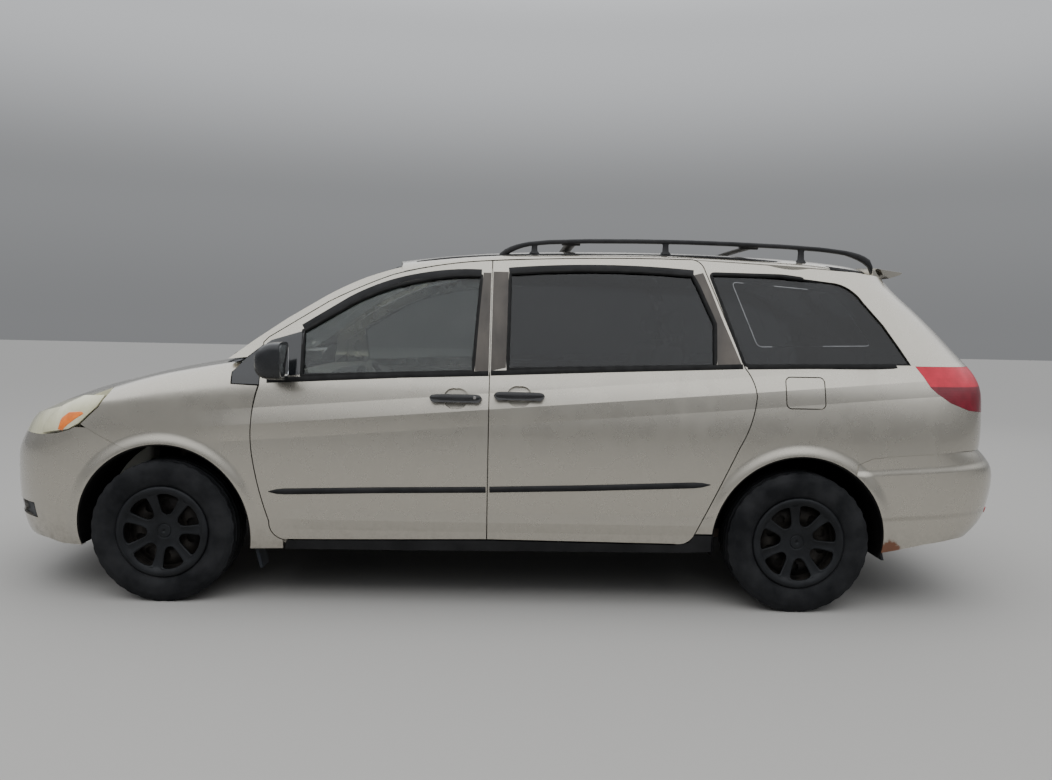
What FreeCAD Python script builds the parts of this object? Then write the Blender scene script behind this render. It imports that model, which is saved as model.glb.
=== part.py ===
import FreeCAD, Part
import math
import os
from FreeCAD import Vector as V

# Minivan, front towards -X, its left side towards -Y, standing on z = 0, origin under the box's centre.

# Driving sizes, mm
FRONT_AXLE_X = -1600.0
REAR_AXLE_X = 1430.0
FRONT_TRACK = 1664.0
REAR_TRACK = 1699.0
TYRE_RADIUS = 340.0
TYRE_WIDTH = 215.0
RIM_RADIUS = 203.0
ARCH_RADIUS = 420.0
SHUT_GAP = 5.0
SEAT_GAP = 0.3
FIT = 0.8
SEAL = 5.0
SKIN = 12.0
DOOR_DEPTH = 95.0
FRAME_DEPTH = 45.0
FLANGE = 24.0
GLASS = 5.0
ROOF_DEPTH = 40.0
FLOOR_TOP = 400.0
FLOOR_PLATE = 60.0
FLOOR_HALF = 800.0
SILL_OUT = 838.0

os.makedirs("parts", exist_ok=True)

# Plan shape of the two ends: a superellipse from these stations outwards
NOSE_START = -1750.0
NOSE_POWER = 2.9
TAIL_RUN = 540.0
TAIL_POWER = 4.3

# Half width of the body side at mid length: height, half width
SIDE = [(200, 905), (260, 930), (330, 948), (450, 962), (600, 971), (750, 972), (900, 963), (1000, 946),
        (1060, 932), (1120, 912), (1250, 866), (1400, 806), (1550, 742), (1640, 702), (1720, 664)]
# Nose on the centre line: height, x
NOSE = [(740, -2505), (800, -2478), (860, -2430), (920, -2335), (972, -2190), (1010, -2080), (1050, -1990)]
# Front bumper on the centre line: height, x
FRONT_BUMPER = [(225, -2445), (290, -2505), (380, -2530), (480, -2540), (600, -2540), (700, -2528), (770, -2492),
                (830, -2455)]
# Tail on the centre line: height, x
TAIL = [(740, 2428), (860, 2440), (985, 2445), (1080, 2445), (1150, 2422), (1230, 2358), (1340, 2262),
        (1450, 2158), (1560, 2046), (1640, 1985), (1720, 1955)]
# Rear bumper on the centre line: height, x
REAR_BUMPER = [(270, 2350), (360, 2420), (430, 2490), (520, 2525), (613, 2540), (694, 2532), (738, 2500), (790, 2442)]
# Hood on the centre line: x, height
HOOD = [(-2470, 850), (-2372, 902), (-2206, 975), (-2036, 1026), (-1838, 1075), (-1658, 1112), (-1450, 1149),
        (-1300, 1174), (-1150, 1194)]
# Fall of the hood from its centre line to 780 mm beside it: x, fall
HOOD_FALL = [(-2400, 82), (-2100, 76), (-1965, 60), (-1803, 42), (-1596, 29), (-1300, 25), (-1150, 25)]
# Roof on the centre line: x, height
ROOF = [(-560, 1678), (-249, 1716), (0, 1734), (300, 1746), (700, 1750), (1100, 1745), (1500, 1727), (1850, 1702),
        (2010, 1682)]
# Top edge of the doors and of the quarter panel: x, height
ROOF_EDGE = [(-545, 1587), (-300, 1643), (-60, 1668), (430, 1688), (925, 1694), (1394, 1672), (1730, 1652), (1990, 1630)]
# Fall of the roof across its half width: share of the half width, share of the fall
ROOF_FALL = [(0, 0.0), (0.38, 0.05), (0.68, 0.17), (0.88, 0.42), (0.96, 0.68), (1, 1.0)]
# Seam between hood and fender: x, distance from the centre line
HOOD_SEAM = [(-2100, 640), (-1990, 706), (-1870, 742), (-1700, 768), (-1450, 788), (-1200, 800)]


def smooth(rows):
    """A monotone cubic curve through a table's rows, as a function of its first column."""
    xs = [float(row[0]) for row in rows]
    ys = [float(row[1]) for row in rows]
    count = len(xs)
    slope = [(ys[i + 1] - ys[i]) / (xs[i + 1] - xs[i]) for i in range(count - 1)]
    tangent = [slope[0]]
    for i in range(1, count - 1):
        same_way = slope[i - 1] * slope[i] > 0
        tangent.append(2 * slope[i - 1] * slope[i] / (slope[i - 1] + slope[i]) if same_way else 0.0)
    tangent.append(slope[-1])

    def value(x):
        if x <= xs[0]:
            return ys[0] + tangent[0] * (x - xs[0])
        if x >= xs[-1]:
            return ys[-1] + tangent[-1] * (x - xs[-1])
        i = max(k for k in range(count - 1) if xs[k] <= x)
        run = xs[i + 1] - xs[i]
        t = (x - xs[i]) / run
        keep = (1 + 2 * t) * (1 - t) ** 2
        return (keep * ys[i] + (1 - keep) * ys[i + 1]
                + run * t * (1 - t) * ((1 - t) * tangent[i] - t * tangent[i + 1]))

    return value


side_at = smooth(SIDE)
nose_at = smooth(NOSE)
front_bumper_at = smooth(FRONT_BUMPER)
tail_at = smooth(TAIL)
rear_bumper_at = smooth(REAR_BUMPER)
hood_at = smooth(HOOD)
hood_fall_at = smooth(HOOD_FALL)
roof_at = smooth(ROOF)
roof_edge_at = smooth(ROOF_EDGE)
roof_fall_at = smooth(ROOF_FALL)
hood_seam_at = smooth(HOOD_SEAM)


# Body surfaces
def straight_width(x, z):
    """Half width of the body side without the rounding of nose and tail."""
    x = max(NOSE_START, min(x, 2050.0))
    upper = min(1.0, max(0.0, (z - 1050) / 600))
    front = max(0.0, -x - 500) / 700
    front_upper = max(0.0, -x - 300) / 800
    rear = max(0.0, x - 900) / 1000
    return side_at(z) - 14 * front ** 2 - 30 * front_upper ** 2 * upper - 30 * rear ** 2 - 45 * rear ** 2 * upper


def rounded(share, power):
    return max(0.0, 1 - share ** power) ** (1 / power)


def half_width(x, z):
    """Half width of the body side at any station behind the nose's tip and before the tail's."""
    width = straight_width(x, z)
    if x < NOSE_START:
        reach = front_bumper_at(z) if z < 800 else nose_at(z)
        width *= rounded((NOSE_START - x) / (NOSE_START - reach), NOSE_POWER)
    tail_start = tail_at(max(z, 740)) - TAIL_RUN
    if x > tail_start:
        width *= rounded((x - tail_start) / TAIL_RUN, TAIL_POWER)
    return width


def hood_height(x, y):
    return hood_at(x) - hood_fall_at(x) * (y / 780) ** 2


def roof_point(x, share):
    """A point of the roof: share runs from 0 at the centre line to 1 at the doors' top edge."""
    edge_z = roof_edge_at(x) + SHUT_GAP / 2
    edge_y = half_width(x, edge_z)
    return V(x, edge_y * share, roof_at(x) - (roof_at(x) - edge_z) * roof_fall_at(abs(share)))


def end_point(z, angle, reach, start, power):
    """A point on a rounded end at height z: angle 0 on the centre line, 90 where the straight side starts."""
    width = straight_width(start, z)
    a = math.radians(abs(angle))
    side = -1 if angle >= 0 else 1
    x = start + (reach - start) * math.cos(a) ** (2 / power)
    return V(x, side * width * math.sin(a) ** (2 / power), z)


def spacing(lines):
    """Parameters for points along a set of lines: their mean shares of the line's length."""
    shares = []
    for line in lines:
        steps = [0.0] + [a.distanceToPoint(b) for a, b in zip(line, line[1:])]
        total = sum(steps)
        shares.append([sum(steps[:i + 1]) / total for i in range(len(steps))])
    return [sum(column) / len(shares) for column in zip(*shares)]


def through(points, parameters):
    curve = Part.BSplineCurve()
    curve.interpolate(Points=list(points), Parameters=parameters)
    return curve


def skin(rows):
    """A cubic surface through a grid of points: along each row, then across the rows' poles."""
    along = spacing(rows)
    across = spacing(list(zip(*rows)))
    row_curves = [through(row, along) for row in rows]
    columns = zip(*[curve.getPoles() for curve in row_curves])
    column_curves = [through(column, across) for column in columns]
    poles = list(zip(*[curve.getPoles() for curve in column_curves]))
    v_curve = row_curves[0]
    u_curve = column_curves[0]
    surface = Part.BSplineSurface()
    surface.buildFromPolesMultsKnots([list(row) for row in poles], u_curve.getMultiplicities(),
                                     v_curve.getMultiplicities(), u_curve.getKnots(), v_curve.getKnots(),
                                     False, False, u_curve.Degree, v_curve.Degree)
    return Part.Face(surface)


def mirrored(shape):
    return shape.mirror(V(0, 0, 0), V(0, 1, 0))


def side_skin(first_x, last_x, low_z, high_z):
    """The left body side as one face between two stations and two heights."""
    count = max(4, round((last_x - first_x) / 160))
    stations = [first_x + (last_x - first_x) * i / count for i in range(count + 1)]
    levels = [z for z, _ in SIDE if low_z < z < high_z]
    levels = [low_z] + levels + [high_z]
    return skin([[V(x, -half_width(x, z), z) for z in levels] for x in stations])


# Outlines: a point (x, z), or (mid x, mid z, x, z) for an arc that ends there
def outline(points, plane="xz", offset=0.0):
    def place(a, b):
        return {"xz": V(a, 0, b), "xy": V(a, b, 0), "yz": V(0, a, b)}[plane]

    edges = []
    start = place(*points[0][-2:])
    last = start
    for point in points[1:]:
        end = place(*point[-2:])
        if len(point) == 4:
            edges.append(Part.Arc(last, place(*point[:2]), end).toShape())
        else:
            edges.append(Part.LineSegment(last, end).toShape())
        last = end
    if last.distanceToPoint(start) > 0.01:
        edges.append(Part.LineSegment(last, start).toShape())
    face = Part.Face(Part.Wire(edges))
    if offset:
        face = face.makeOffset2D(offset)
    return face


def side_prism(points, offset=0.0, near=-1200.0, far=-300.0):
    """The outline, seen from the left, as a block that crosses the left body side."""
    face = outline(points, "xz", offset)
    return face.translated(V(0, near, 0)).extrude(V(0, far - near, 0))


def box(x0, x1, y0, y1, z0, z1):
    return Part.makeBox(x1 - x0, y1 - y0, z1 - z0, V(x0, y0, z0))


def rod(start, end, radius):
    return Part.makeCylinder(radius, (end - start).Length, start, end - start)


def fused(shapes):
    first = shapes[0]
    if len(shapes) > 1:
        first = first.multiFuse(shapes[1:])
    return first.removeSplitter()


def largest(shape):
    return max(shape.Solids, key=lambda solid: solid.Volume)


def export(name, shape):
    solids = shape.Solids
    biggest = max(solid.Volume for solid in solids)
    solids = [solid for solid in solids if solid.Volume > biggest / 500]
    body = solids[0] if len(solids) == 1 else Part.makeCompound(solids)
    body.exportStep("parts/" + name + ".step")
    print(name, len(solids), "solids", [s.isValid() for s in solids], round(body.Volume / 1e6, 2), "dm3")


def both_sides(name, shape):
    export(name + "_left", shape)
    export(name + "_right", mirrored(shape))


# Seams, seen from the left
FRONT_DOOR = [(-1025, 316), (-60, 334), (-60, 1668), (-300, 1642, -545, 1587), (-702, 1521, -849, 1447),
              (-1118, 1272), (-1140, 1248), (-1142, 1047), (-1171, 890, -1165, 716), (-1137, 570, -1090, 405),
              (-1063, 335, -1025, 316)]
SLIDING_DOOR = [(-60, 334), (835, 326), (900, 339, 929, 376), (1125, 798), (1182, 925, 1207, 1037),
                (1196, 1096, 1156, 1170), (990, 1640), (962, 1682, 915, 1694), (430, 1690, -60, 1668)]
FRONT_WINDOW = [(-140, 1130), (-112, 1590), (-265, 1586, -409, 1560), (-537, 1528, -735, 1441), (-955, 1305),
                (-946, 1098)]
SLIDING_WINDOW = [(25, 1146), (29, 1606), (480, 1630, 926, 1614), (954, 1556), (1023, 1378), (1013, 1178)]
QUARTER_WINDOW = [(1156, 1182), (1015, 1624), (1379, 1622), (1640, 1592), (1700, 1570, 1770, 1500), (1858, 1388),
                  (1927, 1274), (1972, 1196)]
FUEL_DOOR = [(1347, 1010), (1347, 1107), (1354, 1125, 1372, 1132), (1510, 1132), (1528, 1125, 1535, 1107),
             (1535, 1010), (1528, 992, 1510, 985), (1372, 985), (1354, 992, 1347, 1010)]
TAIL_LAMP = [(1990, 1193), (2025, 1143), (2053, 1093), (2083, 1065), (2145, 1022), (2243, 986), (2700, 930),
             (2700, 1193)]
HOOD_PANEL = [(-2432, 0), (-2405, -260, -2310, -480), (-2215, -585, -2070, -662), (-1975, -715, -1870, -742),
              (-1655, -776, -1325, -796), (-1420, -420, -1447, 0)]
FENDER = [(-1027, 268), (-1190, 262), (-1600, 262), (-1766, 730), (-1823, 757), (-1905, 800), (-1987, 845),
          (-1953, 879), (-1901, 928), (-1862, 992), (-1862, 1250), (-1302, 1250), (-1302, 1166), (-1212, 1176),
          (-1275, 1104), (-1272, 1052),
          (-1142, 1047), (-1171, 890, -1165, 716), (-1137, 570, -1090, 405), (-1063, 335, -1025, 316)]
HEADLAMP = [(-1862, 992), (-1901, 928), (-1953, 879), (-1987, 845), (-2044, 815), (-2112, 797), (-2200, 785),
            (-2700, 772), (-2700, 1100), (-1862, 1100)]
QUARTER = [(1020, 376), (929, 376), (1125, 798), (1182, 925, 1207, 1037), (1196, 1096, 1156, 1170), (990, 1640),
           (962, 1682, 915, 1694), (1394, 1672), (1730, 1652), (1990, 1630), (2150, 1610), (2700, 1610), (2700, 800),
           (2211, 790), (2053, 776), (1888, 764), (1767, 751), (1700, 722), (1660, 376)]
TAILGATE = [(-640, 797), (-640, 985), (-655, 1193), (-650, 1300), (-622, 1450), (-566, 1610), (-562, 1760),
            (562, 1760), (566, 1610), (622, 1450), (650, 1300), (655, 1193), (640, 985), (640, 797)]
REAR_WINDOW = [(-560, 1220), (-545, 1400, -495, 1560), (-478, 1592, -440, 1600), (440, 1600), (478, 1592, 495, 1560),
               (545, 1400, 560, 1220)]
# Windscreen from its base up: side x, side z, half width, centre x, centre z
WINDSCREEN = [(-1290, 1172, 832, -1405, 1142), (-1040, 1352, 762, -1150, 1350), (-866, 1464, 722, -965, 1475),
              (-680, 1562, 686, -760, 1596), (-520, 1618, 655, -580, 1668)]
# Pillar beside the windscreen, and the dark triangle at its foot
A_PILLAR = [(-1302, 1166), (-1184, 1258), (-1040, 1362), (-866, 1473), (-776, 1523, -672, 1571), (-590, 1600, -500, 1626),
            (-480, 1560), (-849, 1400), (-1100, 1230), (-1122, 1252), (-1212, 1176)]
PILLAR_TRIM = [(-1272, 1052), (-1275, 1104), (-1212, 1176), (-1118, 1255), (-1118, 1049)]


def arch(axle_x, radius=ARCH_RADIUS, near=-1200.0, far=-300.0):
    return Part.makeCylinder(radius, far - near, V(axle_x, near, TYRE_RADIUS), V(0, 1, 0))


# Doors
BELT_Z = 1118.0
HANDLE_OUT = 36.0
HANDLE_BAR = 14.0
HANDLE_HALF = 15.0
HANDLE_END = 34.0
HANDLE_POST = 40.0
RECESS_DEPTH = 22.0
RECESS_HALF_LENGTH = 59.0
RECESS_HALF_HEIGHT = 46.0


def oval(x, z, half_length, half_height):
    """An outline close to an ellipse, of four arcs."""
    side, top = 0.74 * half_length, 0.76 * half_height
    return [(x - half_length, z), (x - side, z + top, x, z + half_height), (x + side, z + top, x + half_length, z),
            (x + side, z - top, x, z - half_height), (x - side, z - top, x - half_length, z)]


def handle_outline(front_x, rear_x, z):
    """A pull bar in side view, with rounded ends."""
    half, tip, end = HANDLE_HALF, 0.8 * HANDLE_HALF, HANDLE_END
    return [(front_x, z), (front_x + end / 4, z + tip, front_x + end, z + half), (rear_x - end, z + half),
            (rear_x - end / 4, z + tip, rear_x, z), (rear_x - end / 4, z - tip, rear_x - end, z - half),
            (front_x + end, z - half), (front_x + end / 4, z - tip, front_x, z)]


def door(points, window, handle):
    """A whole door: skin, inner box below the belt, window frame above it, and its pull handle."""
    xs = [p[-2] for p in points]
    face = side_skin(min(xs) - 20, max(xs) + 20, 300.0, 1715.0)
    panel = face.extrude(V(0, SKIN, 0)).common(side_prism(points, -SHUT_GAP / 2))
    inner = face.translated(V(0, SKIN / 2, 0))
    below_belt = box(-1300, 1300, -1200, -300, 0, BELT_Z)
    deep = inner.extrude(V(0, DOOR_DEPTH - SKIN / 2, 0)).common(side_prism(points, -FLANGE)).common(below_belt)
    frame = inner.extrude(V(0, FRAME_DEPTH - SKIN / 2, 0)).common(side_prism(points, -FLANGE))
    whole = fused([panel, deep, frame])
    front_x, rear_x, z = handle
    middle_x = (front_x + rear_x) / 2
    recess = face.translated(V(0, -60, 0)).extrude(V(0, 60 + RECESS_DEPTH, 0))
    recess = recess.common(side_prism(oval(middle_x, z, RECESS_HALF_LENGTH, RECESS_HALF_HEIGHT)))
    out = face.translated(V(0, -HANDLE_OUT, 0))
    grip = side_prism(handle_outline(front_x, rear_x, z))
    bar = out.extrude(V(0, HANDLE_BAR, 0)).common(grip)
    post_space = out.extrude(V(0, HANDLE_OUT + 4, 0)).common(grip)
    posts = [post_space.common(box(x, x + HANDLE_POST, -1200, -300, 0, 2000)) for x in (front_x, rear_x - HANDLE_POST)]
    return fused([whole.cut(recess), bar] + posts).cut(side_prism(window))


def glass_in(window):
    face = side_skin(-1000.0, 1100.0, 1080.0, 1700.0).translated(V(0, 14, 0))
    return face.extrude(V(0, GLASS, 0)).common(side_prism(window, -SEAT_GAP))


# Pull handles: front x, rear x, height
FRONT_HANDLE = (-334.0, -96.0, 1004.0)
SLIDING_HANDLE = (-34.0, 198.0, 1019.0)
front_door = door(FRONT_DOOR, FRONT_WINDOW, FRONT_HANDLE)
both_sides("front_door", front_door)
front_glass = glass_in(FRONT_WINDOW)
both_sides("front_door_glass", front_glass)

sliding_door = door(SLIDING_DOOR, SLIDING_WINDOW, SLIDING_HANDLE)
export("sliding_doors", Part.makeCompound([sliding_door, mirrored(sliding_door)]))
sliding_glass = glass_in(SLIDING_WINDOW)
export("sliding_door_glass", Part.makeCompound([sliding_glass, mirrored(sliding_glass)]))


# Roof and the frames around the doors
SIDE_DEPTH = 64.0


def cut_for_sides(shape):
    """Clears a roof piece from the doors and the quarter panel, on both sides."""
    face = side_skin(-900, 2060, 1380.0, 1730.0).translated(V(0, -60, 0))
    depth = face.extrude(V(0, 60 + SIDE_DEPTH, 0))
    above_quarter = [(x, z + SHUT_GAP / 2) for x, z in ROOF_EDGE if x > 900]
    quarter_side = side_prism([(925, 1450)] + above_quarter + [(2300, 1600), (2300, 1450)])
    for prism in (side_prism(FRONT_DOOR, SHUT_GAP / 2), side_prism(SLIDING_DOOR, SHUT_GAP / 2), quarter_side):
        space = depth.common(prism)
        shape = shape.cut(space).cut(mirrored(space))
    return shape


ROOF_FRONT = [(-505, -800), (-505, -655), (-580, 0, -505, 655), (-505, 800)]
TAILGATE_HINGE_X = 1883.0
roof_stations = [-620, -380, -100, 300, 800, 1300, 1650, 2010]
roof_shares = [-1, -0.96, -0.88, -0.68, -0.38, 0, 0.38, 0.68, 0.88, 0.96, 1]
roof_face = skin([[roof_point(x, share) for share in roof_shares] for x in roof_stations])
roof_block = roof_face.extrude(V(0, 0, -ROOF_DEPTH))
roof_rear = [(TAILGATE_HINGE_X - SHUT_GAP / 2, 568), (TAILGATE_HINGE_X - SHUT_GAP / 2, -568)]
roof_plan = ROOF_FRONT + [(2000, 800), (2000, 568)] + roof_rear + [(2000, -568), (2000, -800)]
roof_prism = outline(roof_plan, "xy").translated(V(0, 0, 1400)).extrude(V(0, 0, 500))


def tail_point(z, angle):
    reach = tail_at(max(z, 740))
    return end_point(z, angle, reach, reach - TAIL_RUN, TAIL_POWER)


tail_levels = [z for z, _ in TAIL]
wide_angles = [-84, -70, -58, -45, -30, -12, 12, 30, 45, 58, 70, 84]
tail_face = skin([[tail_point(z, angle) for angle in wide_angles] for z in tail_levels])
behind_tail = tail_face.extrude(V(400, 0, 0))
roof_panel = roof_block.common(roof_prism).cut(behind_tail)
roof_panel = cut_for_sides(roof_panel)


def windscreen_point(row, share):
    side_x, side_z, width, centre_x, centre_z = row
    bow = 1 - share ** 2
    return V(side_x + (centre_x - side_x) * bow, width * share, side_z + (centre_z - side_z) * bow)


screen_shares = [-1, -0.7, -0.35, 0, 0.35, 0.7, 1]
screen_face = skin([[windscreen_point(row, share) for share in screen_shares] for row in WINDSCREEN])
SCREEN_NORMAL = V(0.5, 0, -0.86)
windscreen = screen_face.extrude(SCREEN_NORMAL * GLASS)
screen_space = screen_face.translated(SCREEN_NORMAL * -30).extrude(SCREEN_NORMAL * (30 + GLASS + SEAT_GAP))
roof_tool = roof_face.translated(V(0, 0, 40)).extrude(V(0, 0, -40 - ROOF_DEPTH - SEAT_GAP))
windscreen = windscreen.cut(roof_prism.common(roof_tool))
export("windshield", windscreen)


def side_frame():
    """The pillars, sill and roof rail that the doors close against, on the left."""
    ring = [(-1150, 272), (1000, 272), (1000, 420), (1150, 760), (1150, 1170), (985, 1650), (430, 1676), (-60, 1656),
            (-300, 1630), (-545, 1576), (-849, 1437), (-1105, 1275), (-1150, 1235)]
    face = side_skin(-1250, 1250, 260.0, 1720.0)
    lower = face.translated(V(0, DOOR_DEPTH + SEAL, 0)).extrude(V(0, 35, 0)).common(box(-1300, 1300, -1200, 0, 0, 1130))
    upper = face.translated(V(0, FRAME_DEPTH + SEAL, 0)).extrude(V(0, 62, 0))
    upper = upper.common(box(-1300, 1300, -1200, 0, 1124, 1800))
    whole = fused([lower.common(side_prism(ring)), upper.common(side_prism(ring))])
    opening = -62.0
    whole = whole.cut(side_prism(FRONT_DOOR, opening)).cut(side_prism(SLIDING_DOOR, opening))
    sill = box(-1140, 985, -SILL_OUT, -FLOOR_HALF, 275, 394)
    pads = []
    for x, z in [(-92, 560), (-92, 900), (-1118, 640), (-1118, 900), (-28, 560), (-28, 900), (1128, 900)]:
        pad = face.translated(V(0, DOOR_DEPTH + SEAT_GAP, 0)).extrude(V(0, SEAL + 4, 0))
        pads.append(pad.common(rod(V(x, -1200, z), V(x, -300, z), 12)))
    pillar = side_skin(-1350, -400, 1140.0, 1660.0).extrude(V(0, 64, 0)).common(side_prism(A_PILLAR))
    pillar = pillar.cut(side_prism(FRONT_DOOR, SHUT_GAP / 2))
    whole = fused([whole, sill, pillar] + pads)
    return whole.cut(roof_tool.common(roof_prism)).cut(screen_space)


def quarter_point(z, column):
    """Columns below 100 are angles of the rounded end, the rest run forward along the straight side."""
    if column <= 90:
        return tail_point(z, column)
    start = tail_at(max(z, 740)) - TAIL_RUN
    x = start + (860 - start) * (column - 100) / 100
    return V(x, -straight_width(x, z), z)


quarter_columns = [10, 25, 38, 50, 62, 75, 90, 133, 166, 200]
quarter_levels = [300, 450, 600] + tail_levels
quarter_face = skin([[quarter_point(z, column) for column in quarter_columns] for z in quarter_levels])
quarter_block = quarter_face.extrude(V(-45, 62, 0))
left_frame = side_frame().cut(quarter_block)
both_sides("side_frame", left_frame)

trim_face = side_skin(-1330, -1080, 1030.0, 1280.0).translated(V(0, 3, 0))
pillar_trim = trim_face.extrude(V(0, 30, 0)).common(side_prism(PILLAR_TRIM, -FIT))
pillar_trim = pillar_trim.cut(side_prism(FRONT_DOOR, SHUT_GAP / 2))
export("pillar_trims", Part.makeCompound([pillar_trim, mirrored(pillar_trim)]))


# Nose: fenders, hood, headlamps, grille and front bumper
def fender_point(x, level):
    """Up the fender's side to its shoulder, then over the crest to the hood's seam."""
    shoulder = 930.0
    if level < 1000:
        return V(x, -half_width(x, level), level)
    turn = math.radians(level - 1000)
    seam_y = hood_seam_at(x)
    seam_z = hood_height(x, seam_y)
    out = half_width(x, shoulder) - seam_y
    power = 2 / 2.2
    return V(x, -seam_y - out * math.cos(turn) ** power, shoulder + (seam_z - shoulder) * math.sin(turn) ** power)


fender_levels = [240, 330, 450, 600, 740, 850, 930, 1025, 1047, 1068, 1090]
fender_stations = [-1090 - 960 * i / 7 for i in range(8)]
fender_face = skin([[fender_point(x, level) for level in fender_levels] for x in [-1000] + fender_stations])
fender = fender_face.extrude(V(0, 15, -13)).common(side_prism(FENDER, -SHUT_GAP / 2))
fender = fender.cut(arch(FRONT_AXLE_X))

hood_rows = [[V(x, y, hood_height(x, y)) for y in (-840, -560, -280, 0, 280, 560, 840)]
             for x in (-2470, -2390, -2206, -2036, -1838, -1658, -1450, -1300, -1150)]
hood_face = skin(hood_rows)


def hood_outline(offset):
    ends = [point[-2:] for point in HOOD_PANEL]
    middles = [point[:2] for point in HOOD_PANEL[1:]]
    far_side = [(mid_x, -mid_y, end_x, -end_y)
                for (mid_x, mid_y), (end_x, end_y) in zip(reversed(middles), reversed(ends[:-1]))]
    return outline(HOOD_PANEL + far_side, "xy", offset).translated(V(0, 0, 600)).extrude(V(0, 0, 800))


hood = hood_face.extrude(V(0, 0, -22)).common(hood_outline(-SHUT_GAP / 2))
export("hood", hood)


LAMP_INNER_Y = 430.0
nose_angles = [0, 14, 27, 39, 50, 61, 72, 82, 90]
nose_levels = [z for z, _ in NOSE]


def nose_point(z, angle):
    return end_point(z, angle, nose_at(z), NOSE_START, NOSE_POWER)


left_nose = skin([[nose_point(z, angle) for angle in nose_angles] for z in nose_levels])
hood_space = hood_face.translated(V(0, 0, -28)).extrude(V(0, 0, 400)).common(hood_outline(SHUT_GAP / 2))
both_sides("fender", fender.cut(hood_space))
under_hood = hood_face.extrude(V(0, 0, -500))
fender_space = side_prism(FENDER, FIT - SHUT_GAP / 2)
headlamp = left_nose.extrude(V(62, 48, 0)).common(side_prism(HEADLAMP, -FIT / 2))
headlamp = headlamp.common(box(-2700, -1700, -1100, -LAMP_INNER_Y, 600, 1200)).common(under_hood)
headlamp = headlamp.cut(hood_space).cut(fender_space)
export("headlamps", Part.makeCompound([headlamp, mirrored(headlamp)]))

GRILLE_BARS = 3
GRILLE_LOW = 772.0
GRILLE_HIGH = 862.0
nose_middle = skin([[nose_point(z, angle) for angle in [-40, -27, -14, 0, 14, 27, 40]] for z in nose_levels])
grille_half = LAMP_INNER_Y - FIT
grille = nose_middle.extrude(V(42, 0, 0)).common(box(-2700, -1700, -grille_half, grille_half, GRILLE_LOW + FIT, 1100))
grille = grille.common(under_hood).cut(hood_space).common(side_prism(HEADLAMP, -FIT / 2, far=1200.0))
slot_pitch = (GRILLE_HIGH - GRILLE_LOW) / GRILLE_BARS
for i in range(GRILLE_BARS):
    low = GRILLE_LOW + slot_pitch * i + 9
    for y0, y1 in [(-grille_half + 16, -6), (6, grille_half - 16)]:
        grille = grille.cut(box(-2700, -1700, y0, y1, low, low + slot_pitch - 12))
export("grille", grille)


def front_bumper_point(z, angle):
    return end_point(z, angle, front_bumper_at(z), NOSE_START, NOSE_POWER)


FRONT_BUMPER_SIDE = [(-1700, 252), (-2120, 256), (-2200, 272), (-2700, 284), (-2700, 830), (-1700, 860)]
left_bumper_face = skin([[front_bumper_point(z, angle) for angle in nose_angles] for z, _ in FRONT_BUMPER])
half_bumper = left_bumper_face.extrude(V(34, 32, 0)).common(side_prism(FRONT_BUMPER_SIDE, far=0.0))
upper_trim = side_prism(HEADLAMP, FIT / 2, far=20.0)
half_bumper = half_bumper.cut(fender_space).cut(upper_trim).cut(arch(FRONT_AXLE_X, far=20.0))
half_bumper = half_bumper.cut(box(-2700, -2300, -490, 20, 338, 430)).cut(box(-2700, -2100, -815, -600, 372, 446))
front_bumper = fused([half_bumper, mirrored(half_bumper)])
export("front_bumper", front_bumper)


# Tail: quarter panels, tail lamps, tailgate and rear bumper
tailgate_space = outline(TAILGATE, "yz", SHUT_GAP / 2).translated(V(1500, 0, 0)).extrude(V(1200, 0, 0))
tailgate_shape = outline(TAILGATE, "yz", -SHUT_GAP / 2).translated(V(1500, 0, 0)).extrude(V(1200, 0, 0))
fuel_face = side_skin(1300, 1600, 940.0, 1180.0)
FUEL_RECESS = 30.0
FUEL_FLAP = 8.0
fuel_space = fuel_face.translated(V(0, -60, 0)).extrude(V(0, 60 + FUEL_RECESS, 0)).common(
    side_prism(FUEL_DOOR, SHUT_GAP / 2))
quarter = quarter_block.common(side_prism(QUARTER, -SHUT_GAP / 2)).cut(arch(REAR_AXLE_X)).cut(side_prism(QUARTER_WINDOW))
quarter = quarter.cut(side_prism(TAIL_LAMP)).cut(tailgate_space)
fuel_pad = fuel_face.translated(V(0, FUEL_FLAP + SEAT_GAP, 0)).extrude(V(0, FUEL_RECESS, 0))
fuel_pad = fuel_pad.common(box(1356, 1370, -1100, -600, 1045, 1075))
quarter = largest(quarter)
export("roof_panel", roof_panel.cut(quarter).cut(mirrored(quarter)))
export("quarter_panel_left", fused([quarter.cut(fuel_space), fuel_pad]))
export("quarter_panel_right", fused([mirrored(quarter)]))

fuel_door = fuel_face.extrude(V(0, FUEL_FLAP, 0)).common(side_prism(FUEL_DOOR, -SHUT_GAP / 2))
export("fuel_door", fuel_door)

quarter_glass = quarter_face.translated(V(0, 12, 0)).extrude(V(0, GLASS, 0)).common(
    side_prism(QUARTER_WINDOW, -SEAT_GAP))
export("quarter_glass", Part.makeCompound([quarter_glass, mirrored(quarter_glass)]))

tail_lamp = quarter_block.common(side_prism(TAIL_LAMP, -FIT)).cut(tailgate_space)
export("tail_lamps", Part.makeCompound([tail_lamp, mirrored(tail_lamp)]))

TAILGATE_DEPTH = 58.0
# Lip over the rear window, in side view: x, z
SPOILER = [(1915, 1720), (2050, 1690), (2050, 1660), (2038, 1650), (1985, 1632), (1950, 1650)]
SPOILER_HALF = 535.0
SPOILER_RISE = 7.0


def roof_height(x, y):
    edge_z = roof_edge_at(x) + SHUT_GAP / 2
    share = min(1.0, abs(y) / straight_width(x, edge_z))
    return roof_at(x) - (roof_at(x) - edge_z) * roof_fall_at(share)


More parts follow.
